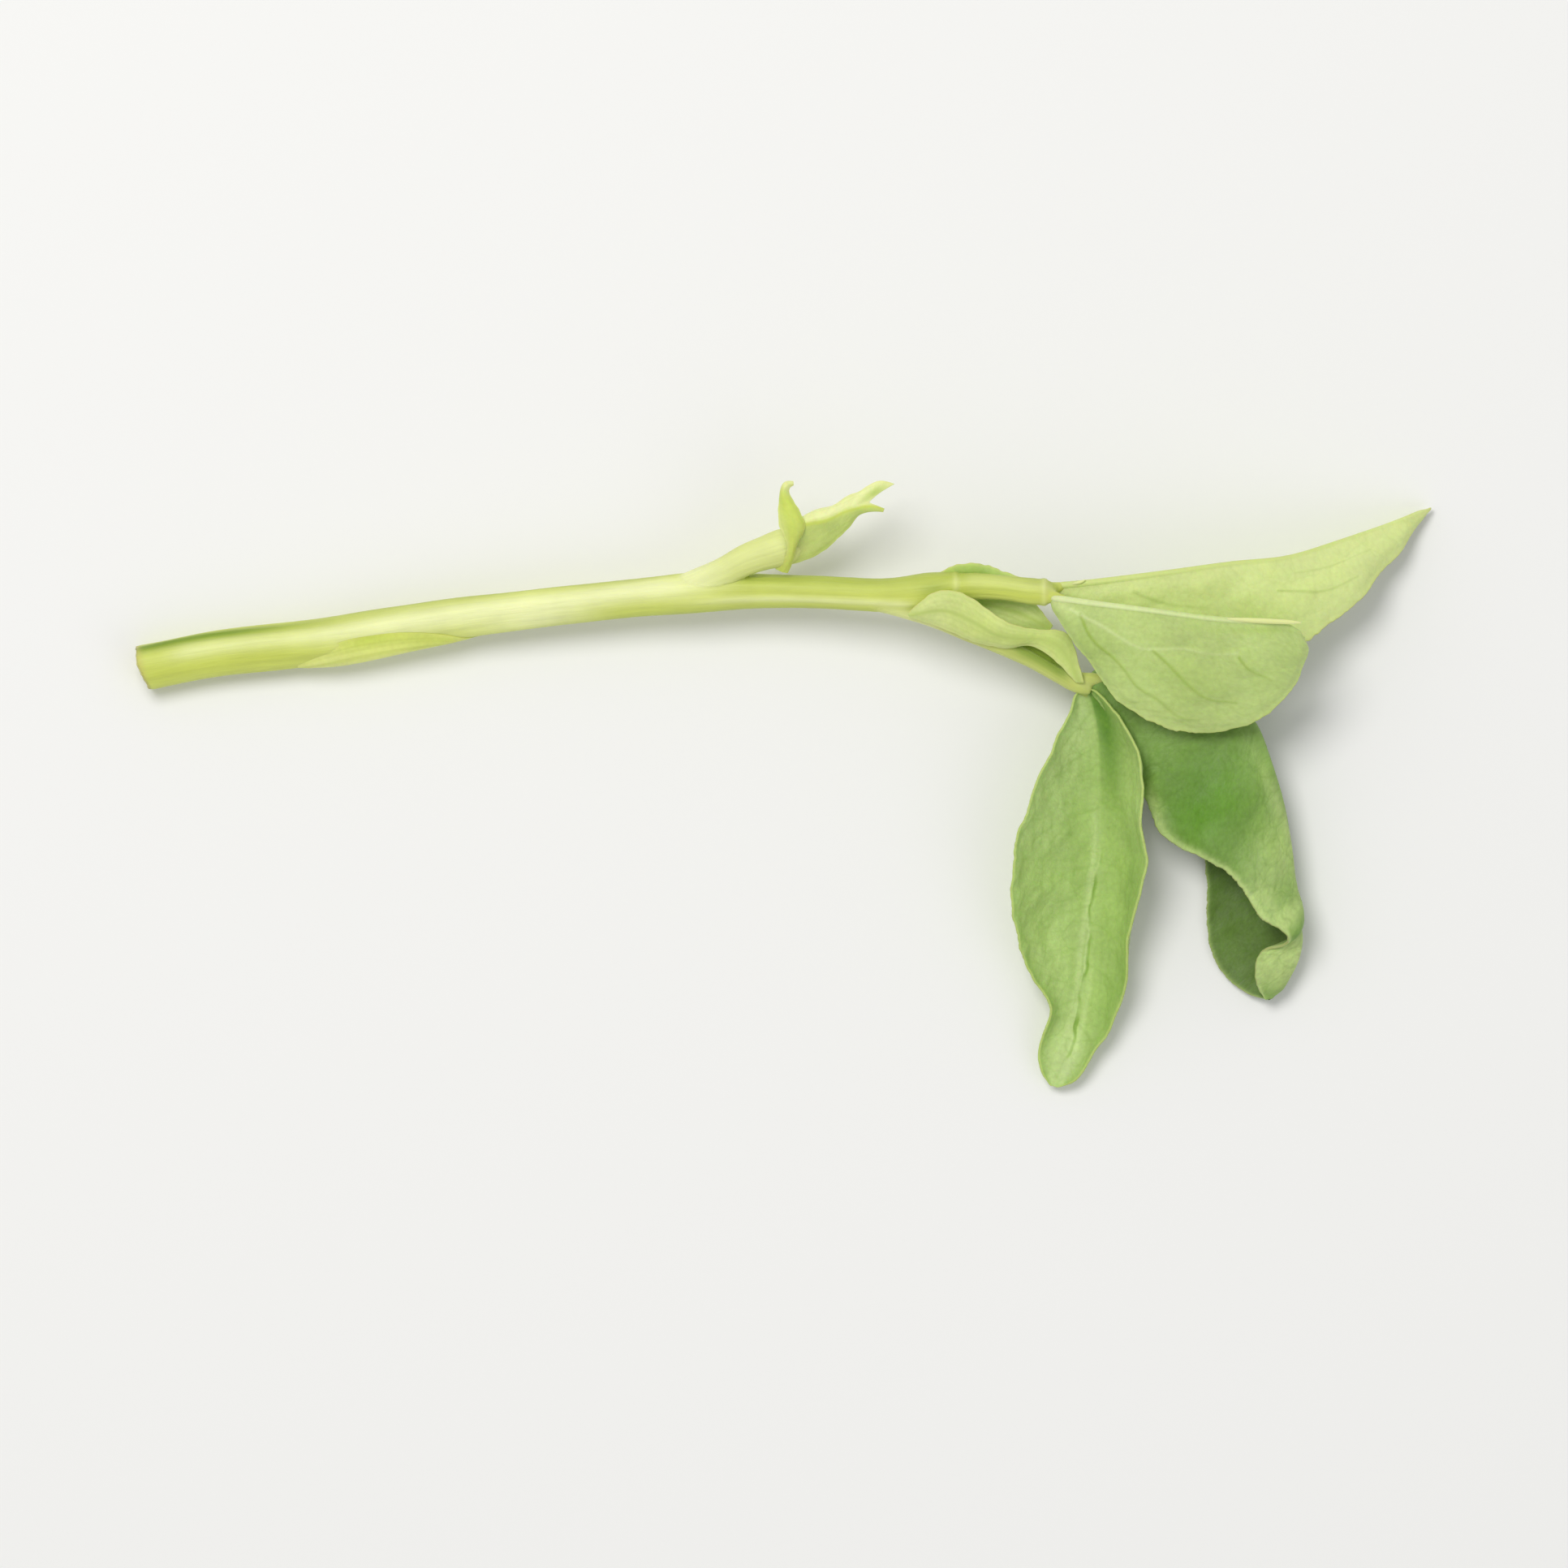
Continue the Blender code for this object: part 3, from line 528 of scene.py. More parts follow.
def closed_rings(name, rings, fields, material):
    """A closed piece from rings of points, each end drawn in to a pole."""
    count, sides = rings.shape[:2]
    quads, triangles = ring_faces(count, sides)
    poles = np.array([rings[0].mean(axis=0), rings[-1].mean(axis=0)])
    points = np.concatenate([rings.reshape(-1, 3), poles])
    carried = {}
    for key, values in fields.items():
        ends = np.array([values[0].mean(axis=0), values[-1].mean(axis=0)])
        carried[key] = np.concatenate([values.reshape(count * sides, *values.shape[2:]), ends])
    return make_piece(name, points, quads, triangles, carried, material)


# Blades


def surface_normals(points, towards):
    """Unit normals of a grid of points, eased across sharp folds by repeated 1-2-1 means.

    They are turned so that those of the last column point towards a side.
    """
    along = np.gradient(points, axis=0)
    across = np.gradient(points, axis=1)
    normals = unit(np.cross(across, along))
    for _ in range(NORMAL_PASSES):
        normals[:, 1:-1] = (normals[:, :-2] + 2 * normals[:, 1:-1] + normals[:, 2:]) / 4
        normals[1:-1] = (normals[:-2] + 2 * normals[1:-1] + normals[2:]) / 4
    normals = unit(normals)
    middle = len(points) // 2
    return -normals if np.dot(normals[middle, -1], towards[middle]) < 0 else normals


def folded_blade(lines, grid, crease, spread, puff=0.0, wave=(0.0, 0.0)):
    """The inner face of a folded blade, its outward normals, and the shares u and s of its grid.

    point = fold + middle * depth(s) + half_gap * parting(s). Middle runs from the fold to half way
    between the margins and half_gap from there to the near margin. Depth is a hyperbola rounded by
    crease, which goes from its first value at the base to its second at the tip, and parting a
    hyperbolic tangent, quicker for a larger spread. The halves are then puffed outwards as a sine of
    |s|, and the margins waved as a sine of u, by the height and count of wave. Columns lie closest at
    the fold, as |s| to the power COLUMN_CROWDING.
    """
    rows, columns = grid
    even = np.linspace(0, 1, rows)
    u = (1 - ROW_CROWDING) * even + ROW_CROWDING * (0.5 - 0.5 * np.cos(np.pi * even))
    s = np.linspace(-1, 1, columns)
    s = np.sign(s) * np.abs(s) ** COLUMN_CROWDING
    fold, near, far = (spline(line, u) for line in lines)
    crease = np.interp(u, (0, 1), crease)[:, None]
    depth = (np.sqrt(s**2 + crease**2) - crease) / (np.sqrt(1 + crease**2) - crease)
    parting = np.tanh(spread * s) / np.tanh(spread)
    middle = (near + far) / 2 - fold
    half_gap = (near - far) / 2
    points = fold[:, None] + middle[:, None] * depth[..., None] + half_gap[:, None] * parting[:, None]
    outward = surface_normals(points, near - far)
    reach = np.abs(s)[None, :]
    run = u[:, None]
    height, count = wave
    rise = puff * np.sin(np.pi * reach) * step(reach, 0.0, 0.6) * between_ends(u)
    rise = rise + height * np.sin(2 * np.pi * count * run + np.sign(s)) * reach**3 * np.sin(np.pi * run)
    points = points + rise[..., None] * outward
    return points, surface_normals(points, near - far), u, s


def between_ends(u):
    """A column that is 0 at both ends of a blade and 1 half way: the root of a half sine."""
    return np.sin(np.pi * np.clip(u, 0, 1))[:, None] ** 0.5


def margin_distance(across, s):
    """Millimetres from each point of a grid to the margin of its half."""
    return np.where(s < 0, across - across[:, :1], across[:, -1:] - across)


def margin_line(distance, width):
    """A thin line on the margin: exp(-(distance / width)^1.5)."""
    return np.exp(-(distance / width) ** 1.5)


def worked(points, outward, s, height, nibble):
    """A face raised by height along its normals and nibbled sideways, and its new normals."""
    sideways = unit(np.gradient(points, axis=1)) * np.sign(s)[None, :, None]
    points = points + height[..., None] * outward + nibble[..., None] * sideways
    return points, surface_normals(points, points[:, -1] - points[:, 0])


def sewn_end(outer, inner, near, far):
    """Triangles that close a ring of a blade: its two faces laced together, and its two rims filled.

    The arguments are the ring's indices: the faces run from the far to the near margin, the near rim
    from the outer to the inner face and the far rim back. The face with fewer points shares them out.
    """
    dense, sparse = (outer, inner) if len(outer) >= len(inner) else (inner, outer)
    ratio = (len(dense) - 1) // (len(sparse) - 1)
    partner = (np.arange(len(dense)) + ratio // 2) // ratio
    steps = np.stack([dense[:-1], dense[1:], sparse[partner[:-1]]], axis=-1)
    moved = partner[1:] != partner[:-1]
    links = np.stack([dense[1:], sparse[partner[1:]], sparse[partner[:-1]]], axis=-1)[moved]
    lace = np.concatenate([steps, links])
    if len(outer) < len(inner):
        lace = lace[:, ::-1]
    rims = [
        (outer[-1], near[0], near[2]), (near[0], near[1], near[2]), (outer[-1], near[2], inner[-1]),
        (inner[0], far[0], far[2]), (far[0], far[1], far[2]), (inner[0], far[2], outer[0]),
    ]
    return np.concatenate([lace, rims])


def shell(name, inner, outward, wall, fields, material, skips=(1, 1)):
    """A blade with two faces, half round margins and round ends. A hidden face may skip columns.

    Each ring runs over the outer face, round the near margin, back over the inner face and round the
    far margin. Past each end it closes on the blade's middle sheet as a cosine and moves on as a sine.
    """
    outer = inner + wall[..., None] * outward
    turn = np.linspace(np.pi / 2, -np.pi / 2, RIM_POINTS + 2)[1:-1]
    last_and_first = (slice(-1, None), slice(0, 1))

    def rim(edge, beside):
        away = unit(inner[:, edge] - inner[:, beside])
        centre = (inner[:, edge] + outer[:, edge]) / 2
        reach = wall[:, edge, None, None] / 2
        lift = np.sin(turn)[None, :, None] * outward[:, edge, None]
        out = np.cos(turn)[None, :, None] * away[:, None]
        return centre[:, None] + reach * (lift + out)

    top, bottom = skips
    rings = np.concatenate([outer[:, ::top], rim(-1, -2), inner[:, ::-bottom], rim(0, 1)[:, ::-1]], axis=1)
    sheet = (outer + inner) / 2
    near_edge, far_edge = (np.repeat(sheet[:, edge], RIM_POINTS, axis=1) for edge in last_and_first)
    sheet = np.concatenate([sheet[:, ::top], near_edge, sheet[:, ::-bottom], far_edge], axis=1)
    swing = np.linspace(0, np.pi / 2, NOSE_STEPS + 2)[1:-1]

    def nose(end, before):
        ahead = unit(sheet[end] - sheet[before]) * wall.mean() * 0.5
        width = rings[end] - sheet[end]
        return np.array([sheet[end] + width * np.cos(a) + ahead * np.sin(a) for a in swing])

    rings = np.concatenate([nose(0, 2)[::-1], rings, nose(-1, -3)])
    rings[..., 2] = np.maximum(rings[..., 2], LOWEST)
    count, sides = rings.shape[:2]
    across = outer[0, ::top].shape[0]
    back = inner[0, ::bottom].shape[0]
    first = np.arange(sides)
    turned = across + RIM_POINTS
    backwards = first[turned:turned + back][::-1]
    cap = sewn_end(first[:across], backwards, first[across:turned], first[-RIM_POINTS:])
    triangles = np.concatenate([cap, cap[:, ::-1] + (count - 1) * sides])
    carried = {}
    for key, (within, margin, without) in fields.items():
        near, far = (np.repeat(margin[:, edge], RIM_POINTS, axis=1) for edge in last_and_first)
        ring = np.concatenate([without[:, ::top], near, within[:, ::-bottom], far], axis=1)
        ring = np.concatenate([ring[:1]] * NOSE_STEPS + [ring] + [ring[-1:]] * NOSE_STEPS)
        carried[key] = ring.reshape(count * sides, *ring.shape[2:])
    quads = ring_quads(count, sides)
    return make_piece(name, rings.reshape(-1, 3), quads, triangles, carried, material)


def arc_lengths(points):
    """Millimetres along the rows and columns of a grid, both from the fold's base."""
    across = np.linalg.norm(np.diff(points, axis=1), axis=-1)
    across = np.concatenate([np.zeros((len(points), 1)), np.cumsum(across, axis=1)], axis=1)
    middle = points.shape[1] // 2
    across = across - across[:, middle:middle + 1]
    along = np.linalg.norm(np.diff(points[:, middle], axis=0), axis=-1)
    along = np.concatenate([[0.0], np.cumsum(along)])
    return across, np.broadcast_to(along[:, None], across.shape)


def on_surface(points, u, s, at_u, at_s):
    """Points of a grid at the shares at_u and at_s, weighed between the four nearest."""
    row = np.interp(at_u, u, np.arange(len(u)))
    column = np.interp(at_s, s, np.arange(len(s)))
    i = np.minimum(row.astype(int), len(u) - 2)
    j = np.minimum(column.astype(int), len(s) - 2)
    a = (row - i)[:, None]
    b = (column - j)[:, None]
    lower = (1 - b) * points[i, j] + b * points[i, j + 1]
    upper = (1 - b) * points[i + 1, j] + b * points[i + 1, j + 1]
    return (1 - a) * lower + a * upper


def draw_line(field, points, s, half, line, width, weight, end, narrowing=0.0):
    """Draws a vein on one half into a field: weight times the bell curve of the distance from the line.

    Towards its end the vein weakens to a share, and its width falls by the narrowing with it. The line
    is in x, y and z, or in x and y seen from above.
    """
    columns = s * half >= 0
    here = points[:, columns, :line.shape[1]]
    taper = np.linspace(1, end, len(line))
    gaps = np.linalg.norm(here[:, :, None] - line, axis=-1)
    strength = (taper * weight * bell(gaps, 0, width * (1 - narrowing + narrowing * taper))).max(axis=-1)
    field[:, columns] = np.maximum(field[:, columns], strength)


def feathered_veins(points, u, s, halves, pairs, rise, width, seed):
    """How near each point is to a lateral vein or branch of its half.

    A vein leaves the fold at a share u0 and bends up along the margin: s = VEIN_REACH (1 - (1 - a)^1.7)
    and u = u0 + rise (0.5 a + 0.5 a^3) for a from 0 to 1. Less than half way out it sends a branch
    towards the tip.
    """
    rng = np.random.default_rng(seed)
    a = np.linspace(0, 1, VEIN_POINTS)
    out = VEIN_REACH * (1 - (1 - a) ** 1.7)
    field = np.zeros(points.shape[:2])
    for half in halves:
        for i in range(pairs):
            u0 = FIRST_VEIN + (LAST_VEIN - FIRST_VEIN) * (i + 0.35 * rng.uniform(-1, 1)) / (pairs - 1)
            lift = rise * (1 - 0.45 * u0) * rng.uniform(0.85, 1.15)
            ahead = np.clip(u0 + lift * (0.5 * a + 0.5 * a**3), *VEIN_ENDS)
            fork = 0.30 + 0.15 * rng.uniform()
            branch = np.interp(fork, out, ahead) + lift * (0.75 * a + 0.35 * a**2)
            vein = on_surface(points, u, s, ahead, half * out)
            draw_line(field, points, s, half, vein, width, 1.0, 0.35, 0.4)
            beyond = half * (fork + (BRANCH_REACH - fork) * a)
            vein = on_surface(points, u, s, np.clip(branch, *VEIN_ENDS), beyond)
            draw_line(field, points, s, half, vein, width, 0.6, 0.35, 0.4)
    return field


def drawn_veins(points, s, veins):
    """The same for veins of the near half that are given by x and y, with their widths and weights."""
    field = np.zeros(points.shape[:2])
    for line, width, weight in veins:
        draw_line(field, points, s, 1, spline(line, np.linspace(0, 1, DRAWN_POINTS)), width, weight, 0.4)
    return field


def spots(u, s, marks):
    """Soft spots on a blade: the sum of amounts times bell curves of u and s, held between 0 and 1.

    A mark gives the spot's u and s, its reach along each, and its amount.
    """
    field = np.zeros((len(u), len(s)))
    for at_u, at_s, reach_u, reach_s, amount in marks:
        field += amount * bell(u, at_u, reach_u)[:, None] * bell(s, at_s, reach_s)[None, :]
    return np.clip(field, 0, 1)


def blade_fields(across, along, masks, veins, ridge, margin, top_out=False):
    """Attributes of a blade, each as inner face, margin and outer face.

    The outer face is the under side, unless top_out turns it up.
    """
    one = np.ones_like(margin)
    sheet = np.stack([across, along, np.zeros_like(margin)], axis=-1)
    fields = {
        "blade_mm": (sheet, sheet, sheet + FACE_SHIFT),
        "vein": (veins, veins, veins),
        "rib": (ridge, ridge, ridge),
        "margin": (margin * 0.6, one, margin * 0.6),
        "under": (one, one * 0.5, one * 0.0) if top_out else (one * 0.0, one * 0.5, one),
    }
    for key in ("deep", "pale", "dull"):
        mask = masks.get(key, one * 0.0)
        fields[key] = (mask, mask, mask)
    return fields


def leaf_piece(name, node, material, surface, masks, seed, midrib, keel, quilt, keel_width=0.13,
               thin=0.0, clear=BLADE_CLEAR, top_out=False, skips=(1, 2)):
    """A finished leaflet: swells, margin, midrib, veins and quilting worked into a shell.

    The masks veins, the thin laterals, and ribs, the pale main ones, stand out on the outer face and
    sink in the inner one, and between them the blade bulges inwards by quilt. The mask crease is a thin
    groove in the inner face, painted dark along it as shade. Deep, pale and dull are tones, which on some
    leaflets carry painted shade and painted light, and keel_light is how pale the fold is.
    Midrib is the height of the ribs, keel the extra wall on the fold over keel_width, and thin the share
    by which the wall is thinner beside it.
    """
    points, outward, u, s = surface
    across, along = arc_lengths(points)
    none = np.zeros(points.shape[:2])
    veins = masks["veins"]
    ribs = masks.get("ribs", none)
    crease = masks.get("crease", none)
    edge_gap = margin_distance(across, s)
    flat = np.stack([across, along], axis=-1)
    ends = between_ends(u)
    fold_line = bell(across, 0, keel_width) * step(u[:, None], 1.0, 0.7)
    ridge = np.maximum(fold_line, ribs)
    height = sum(rise * swell(flat, size, seed + i) for i, (rise, size) in enumerate(LEAF_SWELLS))
    height = height * ends * step(np.abs(across), 0.2, 1.6)
    bulge = (1 - veins) * (1 - ridge) * ends * step(edge_gap, 0, 2) * step(np.abs(across), 0.1, 1.5)
    height = height + midrib * ridge + VEIN_HEIGHT * veins + CREASE_HEIGHT * crease - quilt * bulge
    way = along[..., None] + LEAF_MARGIN_SHIFT * np.sign(s)[None, :, None]
    nibble = sum(rise * swell(way, size, seed + 3 + i) for i, (rise, size) in enumerate(LEAF_NIBBLES))
    nibble = nibble * np.exp(-edge_gap / LEAF_NIBBLE_REACH) * ends
    points, outward = worked(points, outward, s, height, nibble)
    taper = 0.45 + 0.55 * (step(u, 0.0, 0.02) * step(u, 1.0, 0.97))[:, None]
    wall = BLADE_WALL * (0.5 + 0.5 * step(edge_gap, 0, 1.2)) * (1 - thin * bell(across, 0, 0.7))
    wall = wall + keel * fold_line * ends + 0.02 * bell(edge_gap, 0, 0.2)
    lines = np.clip(veins + crease, 0, 1)
    light = np.clip(masks.get("keel_light", 1.0) * fold_line + ribs, 0, 1)
    fields = blade_fields(across, along, masks, lines, light, margin_line(edge_gap, 0.15), top_out)
    inner = points + clear * taper[..., None] * outward
    piece = shell(name, inner, outward, wall * taper, fields, material, skips)
    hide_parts(node)


def trough_leaflet(material):
    """The lower leaf's left leaflet: an open trough, upper side inside, with a broken crease in its fold."""
    lines = (TROUGH_FOLD, TROUGH_NEAR, TROUGH_FAR)
    surface = folded_blade(lines, LEAF_GRID, crease=(0.35, 0.12), spread=0.9, puff=0.30, wave=(0.12, 3.0))
    points, _, u, s = surface
    across, along = arc_lengths(points)
    run = u[:, None]
    low = step(run, 0.36, 0.5)
    right = step(-across, -0.05, 0.25)
    wander = 0.12 * np.sin(along * 0.9) + 0.05 * np.sin(along * 2.3 + 1) + 0.02 * np.sin(along * 5.1) - 0.05
    broken = np.clip(0.60 + 0.40 * np.sin(along * 1.3 + 0.5) + 0.30 * np.sin(along * 3.1), 0.15, 1)
    # Painted shade: the right half darker near the base, in the trough's channel
    dark_right = ((0.07, -0.32, 0.09, 0.48, 1.1), (0.20, -0.20, 0.10, 0.25, 0.55))
    # More painted shade: soft patches on both halves and short dark marks along the fold
    dark = (
        (0.45, -0.65, 0.14, 0.25, 0.25), (0.35, 0.5, 0.1, 0.3, 0.15), (0.78, -0.7, 0.14, 0.35, 0.3),
        (0.50, 0.05, 0.02, 0.05, 0.5), (0.72, 0.03, 0.03, 0.05, 0.6), (0.84, 0.0, 0.02, 0.04, 0.5),
    )
    # Pale patches, chiefly painted light on the left half near the base
    light = (
        (0.08, 0.55, 0.10, 0.55, 1.0), (0.24, 0.70, 0.20, 0.45, 0.8), (0.95, 0.0, 0.10, 1.0, 0.75),
        (0.7, 0.5, 0.2, 0.5, 0.5), (0.25, -0.8, 0.18, 0.35, 0.4),
    )
    # Pale margins: painted highlights where the margins catch the light
    edges = bell(s, -0.97, 0.06)[None, :] * step(run, 0.06, 0.14) * step(run, 0.62, 0.45)
    edges = edges + 0.8 * bell(s, 0.95, 0.08)[None, :] * step(run, 0.10, 0.22) * step(run, 0.6, 0.35)
    # Pale bands beside the fold and beside the crease: painted highlights on the ridges there
    bands = bell(across, 0.32, 0.30) * step(run, 0.22, 0.4) * 0.8
    bands = bands + bell(across, -0.45, 0.22) * step(run, 0.6, 0.8) * 0.5
    bands = bands + bell(across, wander + 0.14, 0.06) * low * 0.7
    masks = {
        "veins": 0.3 * feathered_veins(points, u, s, (-1, 1), pairs=7, rise=0.24, width=0.12, seed=21),
        # The crease is a groove in the inner face, painted dark along it as shade
        "crease": bell(across, wander, 0.07) * low * broken * step(run, 1.0, 0.93),
        "keel_light": 0.0,
        "deep": np.clip(spots(u, s, dark_right) * right + spots(u, s, dark), 0, 1),
        "pale": np.clip(bands + spots(u, s, light) + 0.5 * edges, 0, 1),
    }
    leaf_piece(
        "trough_leaflet", "leaflet_trough", material, surface, masks, seed=31,
        midrib=0.03, keel=0.20, quilt=0.04, skips=(2, 1),
    )


def drooping_leaflet(material):
    """The lower leaf's right leaflet: bent down along its fold, upper side out, with a curled tip."""
    lines = (DROOPING_FOLD, DROOPING_NEAR, DROOPING_FAR)
    surface = folded_blade(lines, LEAF_GRID, crease=(0.3, 0.3), spread=1.25, puff=0.25, wave=(0.10, 3.0))
    points, _, u, s = surface
    # Painted shade: the far half, which lies under the near half, takes the dull colour, a little less
    # towards the tip
    far_half = step(-s, 0.02, 0.25)[None, :] * (1 - 0.3 * step(u, 0.78, 0.92)[:, None])
    # The last dark mark is a painted shadow under the rolled edge of the near margin
    dark = ((0.42, 0.66, 0.10, 0.34, 1.0), (0.52, 0.45, 0.08, 0.25, 0.5), (0.80, 0.75, 0.025, 0.5, 0.9))
    # Among the pale marks, the first two, beside the fold, are painted sheen, and the third and fourth are
    # painted highlights on the rolled edge of the near margin
    light = (
        (0.68, 0.25, 0.2, 0.35, 0.40), (0.56, 0.14, 0.14, 0.10, 0.45), (0.70, 0.9, 0.07, 0.2, 0.7),
        (0.76, 0.8, 0.02, 0.4, 0.8), (0.91, 0.5, 0.07, 0.8, 1.2), (0.33, 0.97, 0.06, 0.06, 0.8),
        (0.90, 1.0, 0.08, 0.1, 0.6), (0.62, 0.55, 0.08, 0.3, 0.3), (0.20, 0.45, 0.10, 0.5, 0.12),
        (0.66, 0.6, 0.06, 0.35, 0.2),
    )
    near_edge = bell(s, 1.0, 0.04)[None, :] * step(u, 0.30, 0.42)[:, None] * 0.9
    masks = {
        "veins": 0.25 * feathered_veins(points, u, s, (-1, 1), pairs=7, rise=0.24, width=0.12, seed=22),
        "keel_light": 0.35,
        "deep": spots(u, s, dark),
        "pale": np.clip(spots(u, s, light) + near_edge, 0, 1),
        "dull": far_half,
    }
    leaf_piece(
        "drooping_leaflet", "leaflet_drooping", material, surface, masks, seed=41,
        midrib=0.04, keel=0.05, quilt=0.05, top_out=True,
    )


def front_leaflet(material):
    """The end leaf's front leaflet: folded shut with its keel up, so that its under side shows."""
    lines = (FRONT_FOLD, FRONT_NEAR, FRONT_FAR)
    surface = folded_blade(lines, LEAF_GRID, crease=(0.07, 0.07), spread=0.9, puff=0.30, wave=(0.10, 3.0))
    points, _, u, s = surface
    laterals = feathered_veins(points, u, s, (-1,), pairs=6, rise=0.24, width=0.10, seed=23)
    # The last dark mark is a painted shadow along the near half just beside the keel
    dark = ((0.55, 0.5, 0.25, 0.3, 0.25), (0.16, 0.75, 0.10, 0.35, 0.5), (0.8, 0.10, 0.2, 0.04, 0.5))
    light = (
        (0.05, 0.25, 0.06, 0.5, 0.8), (0.6, 1.0, 0.45, 0.20, 0.5), (0.2, 0.12, 0.3, 0.2, 0.3),
        (0.6, 0.25, 0.3, 0.2, 0.25),
    )
    masks = {
        "veins": np.maximum(laterals * 0.3, drawn_veins(points, s, FRONT_VEINS)),
        "ribs": drawn_veins(points, s, (FRONT_RIB,)) * 0.9,
        "keel_light": 0.75 - 0.25 * step(u, 0.2, 0.9)[:, None],
        "deep": spots(u, s, dark),
        "pale": spots(u, s, light),
    }
    leaf_piece(
        "front_leaflet", "leaflet_end_front", material, surface, masks, seed=51,
        midrib=0.03, keel=0.05, quilt=0.05, keel_width=0.035, thin=0.5, clear=0.04,
    )


def back_leaflet(material):
    """The end leaf's back leaflet: folded shut, with a long pointed tip, so that its under side shows."""
    lines = (BACK_FOLD, BACK_NEAR, BACK_FAR)
    surface = folded_blade(lines, LEAF_GRID, crease=(0.07, 0.07), spread=0.9, puff=0.25, wave=(0.10, 3.0))
    points, _, u, s = surface
    laterals = feathered_veins(points, u, s, (-1,), pairs=7, rise=0.26, width=0.10, seed=24)
    dark = ((0.12, 0.5, 0.12, 0.5, 0.10), (0.35, 0.7, 0.2, 0.25, 0.25))
    light = ((0.8, 0.4, 0.25, 0.9, 0.6), (0.4, 0.1, 0.3, 0.2, 0.4), (0.10, 0.4, 0.18, 0.8, 0.9))
    masks = {
        "veins": np.maximum(laterals * 0.3, drawn_veins(points, s, BACK_VEINS)),
        "deep": spots(u, s, dark),
        "pale": spots(u, s, light),
    }
    leaf_piece(
        "back_leaflet", "leaflet_end_back", material, surface, masks, seed=61,
        midrib=0.03, keel=0.04, quilt=0.04, keel_width=0.06, thin=0.5, clear=0.04,
    )


def keel_spurs(material):
    """The raised points in which the keels of the end leaflets run out: tapering tubes along the fold."""
    around = np.linspace(0, 2 * np.pi, SPUR_SIDES, endpoint=False)
    for name, path in (("front_spur", FRONT_SPUR), ("back_spur", BACK_SPUR)):
        rings = ribbed_rings(path, np.linspace(0, 1, SPUR_RINGS), around, ribbed=0.0)
        none = np.zeros(rings.shape[:2])
        length = np.linalg.norm(np.array(path[-1][:3]) - np.array(path[0][:3]))
        run = none + np.linspace(0, length, SPUR_RINGS)[:, None]
        grain = np.stack([run, none + 0.2 * np.cos(around), none + 0.2 * np.sin(around)], axis=-1)
        fields = {"grain_mm": grain, "rib": none, "deep": none, "pale": none + 0.7, "tan": none}
        closed_rings(name, rings, fields, material)


# Small blades


def parallel_veins(across, s, count, width, seed):
    """Veins that run from base to tip at nearly equal shares of the width."""
    rng = np.random.default_rng(seed)
    reach = np.maximum(np.abs(across[:, :1]), np.abs(across[:, -1:]))
    field = np.zeros(across.shape)
    for share in np.linspace(-0.8, 0.8, count) + rng.uniform(-0.06, 0.06, count):
        gap = np.abs(s[None, :] - share) * reach
        field = np.maximum(field, bell(gap, 0, width) * rng.uniform(0.5, 1.0))
    return field


def small_piece(name, node, material, lines, crease, spread, wall, clear, seed, veins, marks, notch=0.0,
                relief=0.01, ridge=1.0, halves=()):
    """A finished stipule or scale: a shell with parallel veins, a faint swell and an uneven margin.

    A notch cuts a V into the far half's end: u is drawn back to u (1 - notch * a ramp of s up to a place
    near the fold and down again), which leaves two pointed prongs. Relief is the height of the veins and
    ridge how pale the fold is. Halves names the tones that cover the near and the far half.
    """
    points, _, u, s = folded_blade(lines, SMALL_GRID, (crease, crease), spread)
    deepest = 0.14
    cut = np.clip(np.minimum(-s / deepest, (1 + s) / (1 - deepest)), 0, 1)
    back = u[:, None] * (1 - notch * cut * step(u, 0.5, 1)[:, None])
    beside = np.broadcast_to(s, back.shape)
    points = on_surface(points, u, s, back.ravel(), beside.ravel()).reshape(points.shape)
    outward = surface_normals(points, points[:, -1] - points[:, 0])
    across, along = arc_lengths(points)
    edge_gap = margin_distance(across, s)
    ends = between_ends(u)
    field = parallel_veins(across, s, veins, 0.09, seed) * ends
    rise, size = SMALL_SWELL
    height = (rise * swell(np.stack([across, along], axis=-1), size, seed) + relief * field) * ends
    rise, size = SMALL_NIBBLE
    nibble = rise * swell(along[..., None] + SMALL_MARGIN_SHIFT * np.sign(s)[None, :, None], size, seed + 1)
    nibble = nibble * np.exp(-edge_gap / SMALL_NIBBLE_REACH) * ends
    points, outward = worked(points, outward, s, height, nibble)
    thickness = wall * (0.55 + 0.45 * step(edge_gap, 0, 0.6))
    masks = {key: spots(u, s, places) for key, places in marks.items()}
    for key, side in zip(halves, (1, -1)):
        masks[key] = np.clip(masks.get(key, 0.0) + step(side * s, 0.0, 0.10) * np.ones((len(u), 1)), 0, 1)
    fold_line = ridge * bell(across, 0, 0.2)
    fields = blade_fields(across, along, masks, 0.35 * field, fold_line, margin_line(edge_gap, 0.14))
    piece = shell(name, points + clear * outward, outward, thickness, fields, material)
    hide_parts(node)


def middle_line(upper, lower, arch):
    """A line half way between two margins, lifted by the arch at half its length as a half sine."""
    u = np.linspace(0, 1, 13)
    line = (spline(upper, u) + spline(lower, u)) / 2
    return line + np.sin(np.pi * u)[:, None] * np.array((0.0, 0.0, arch))


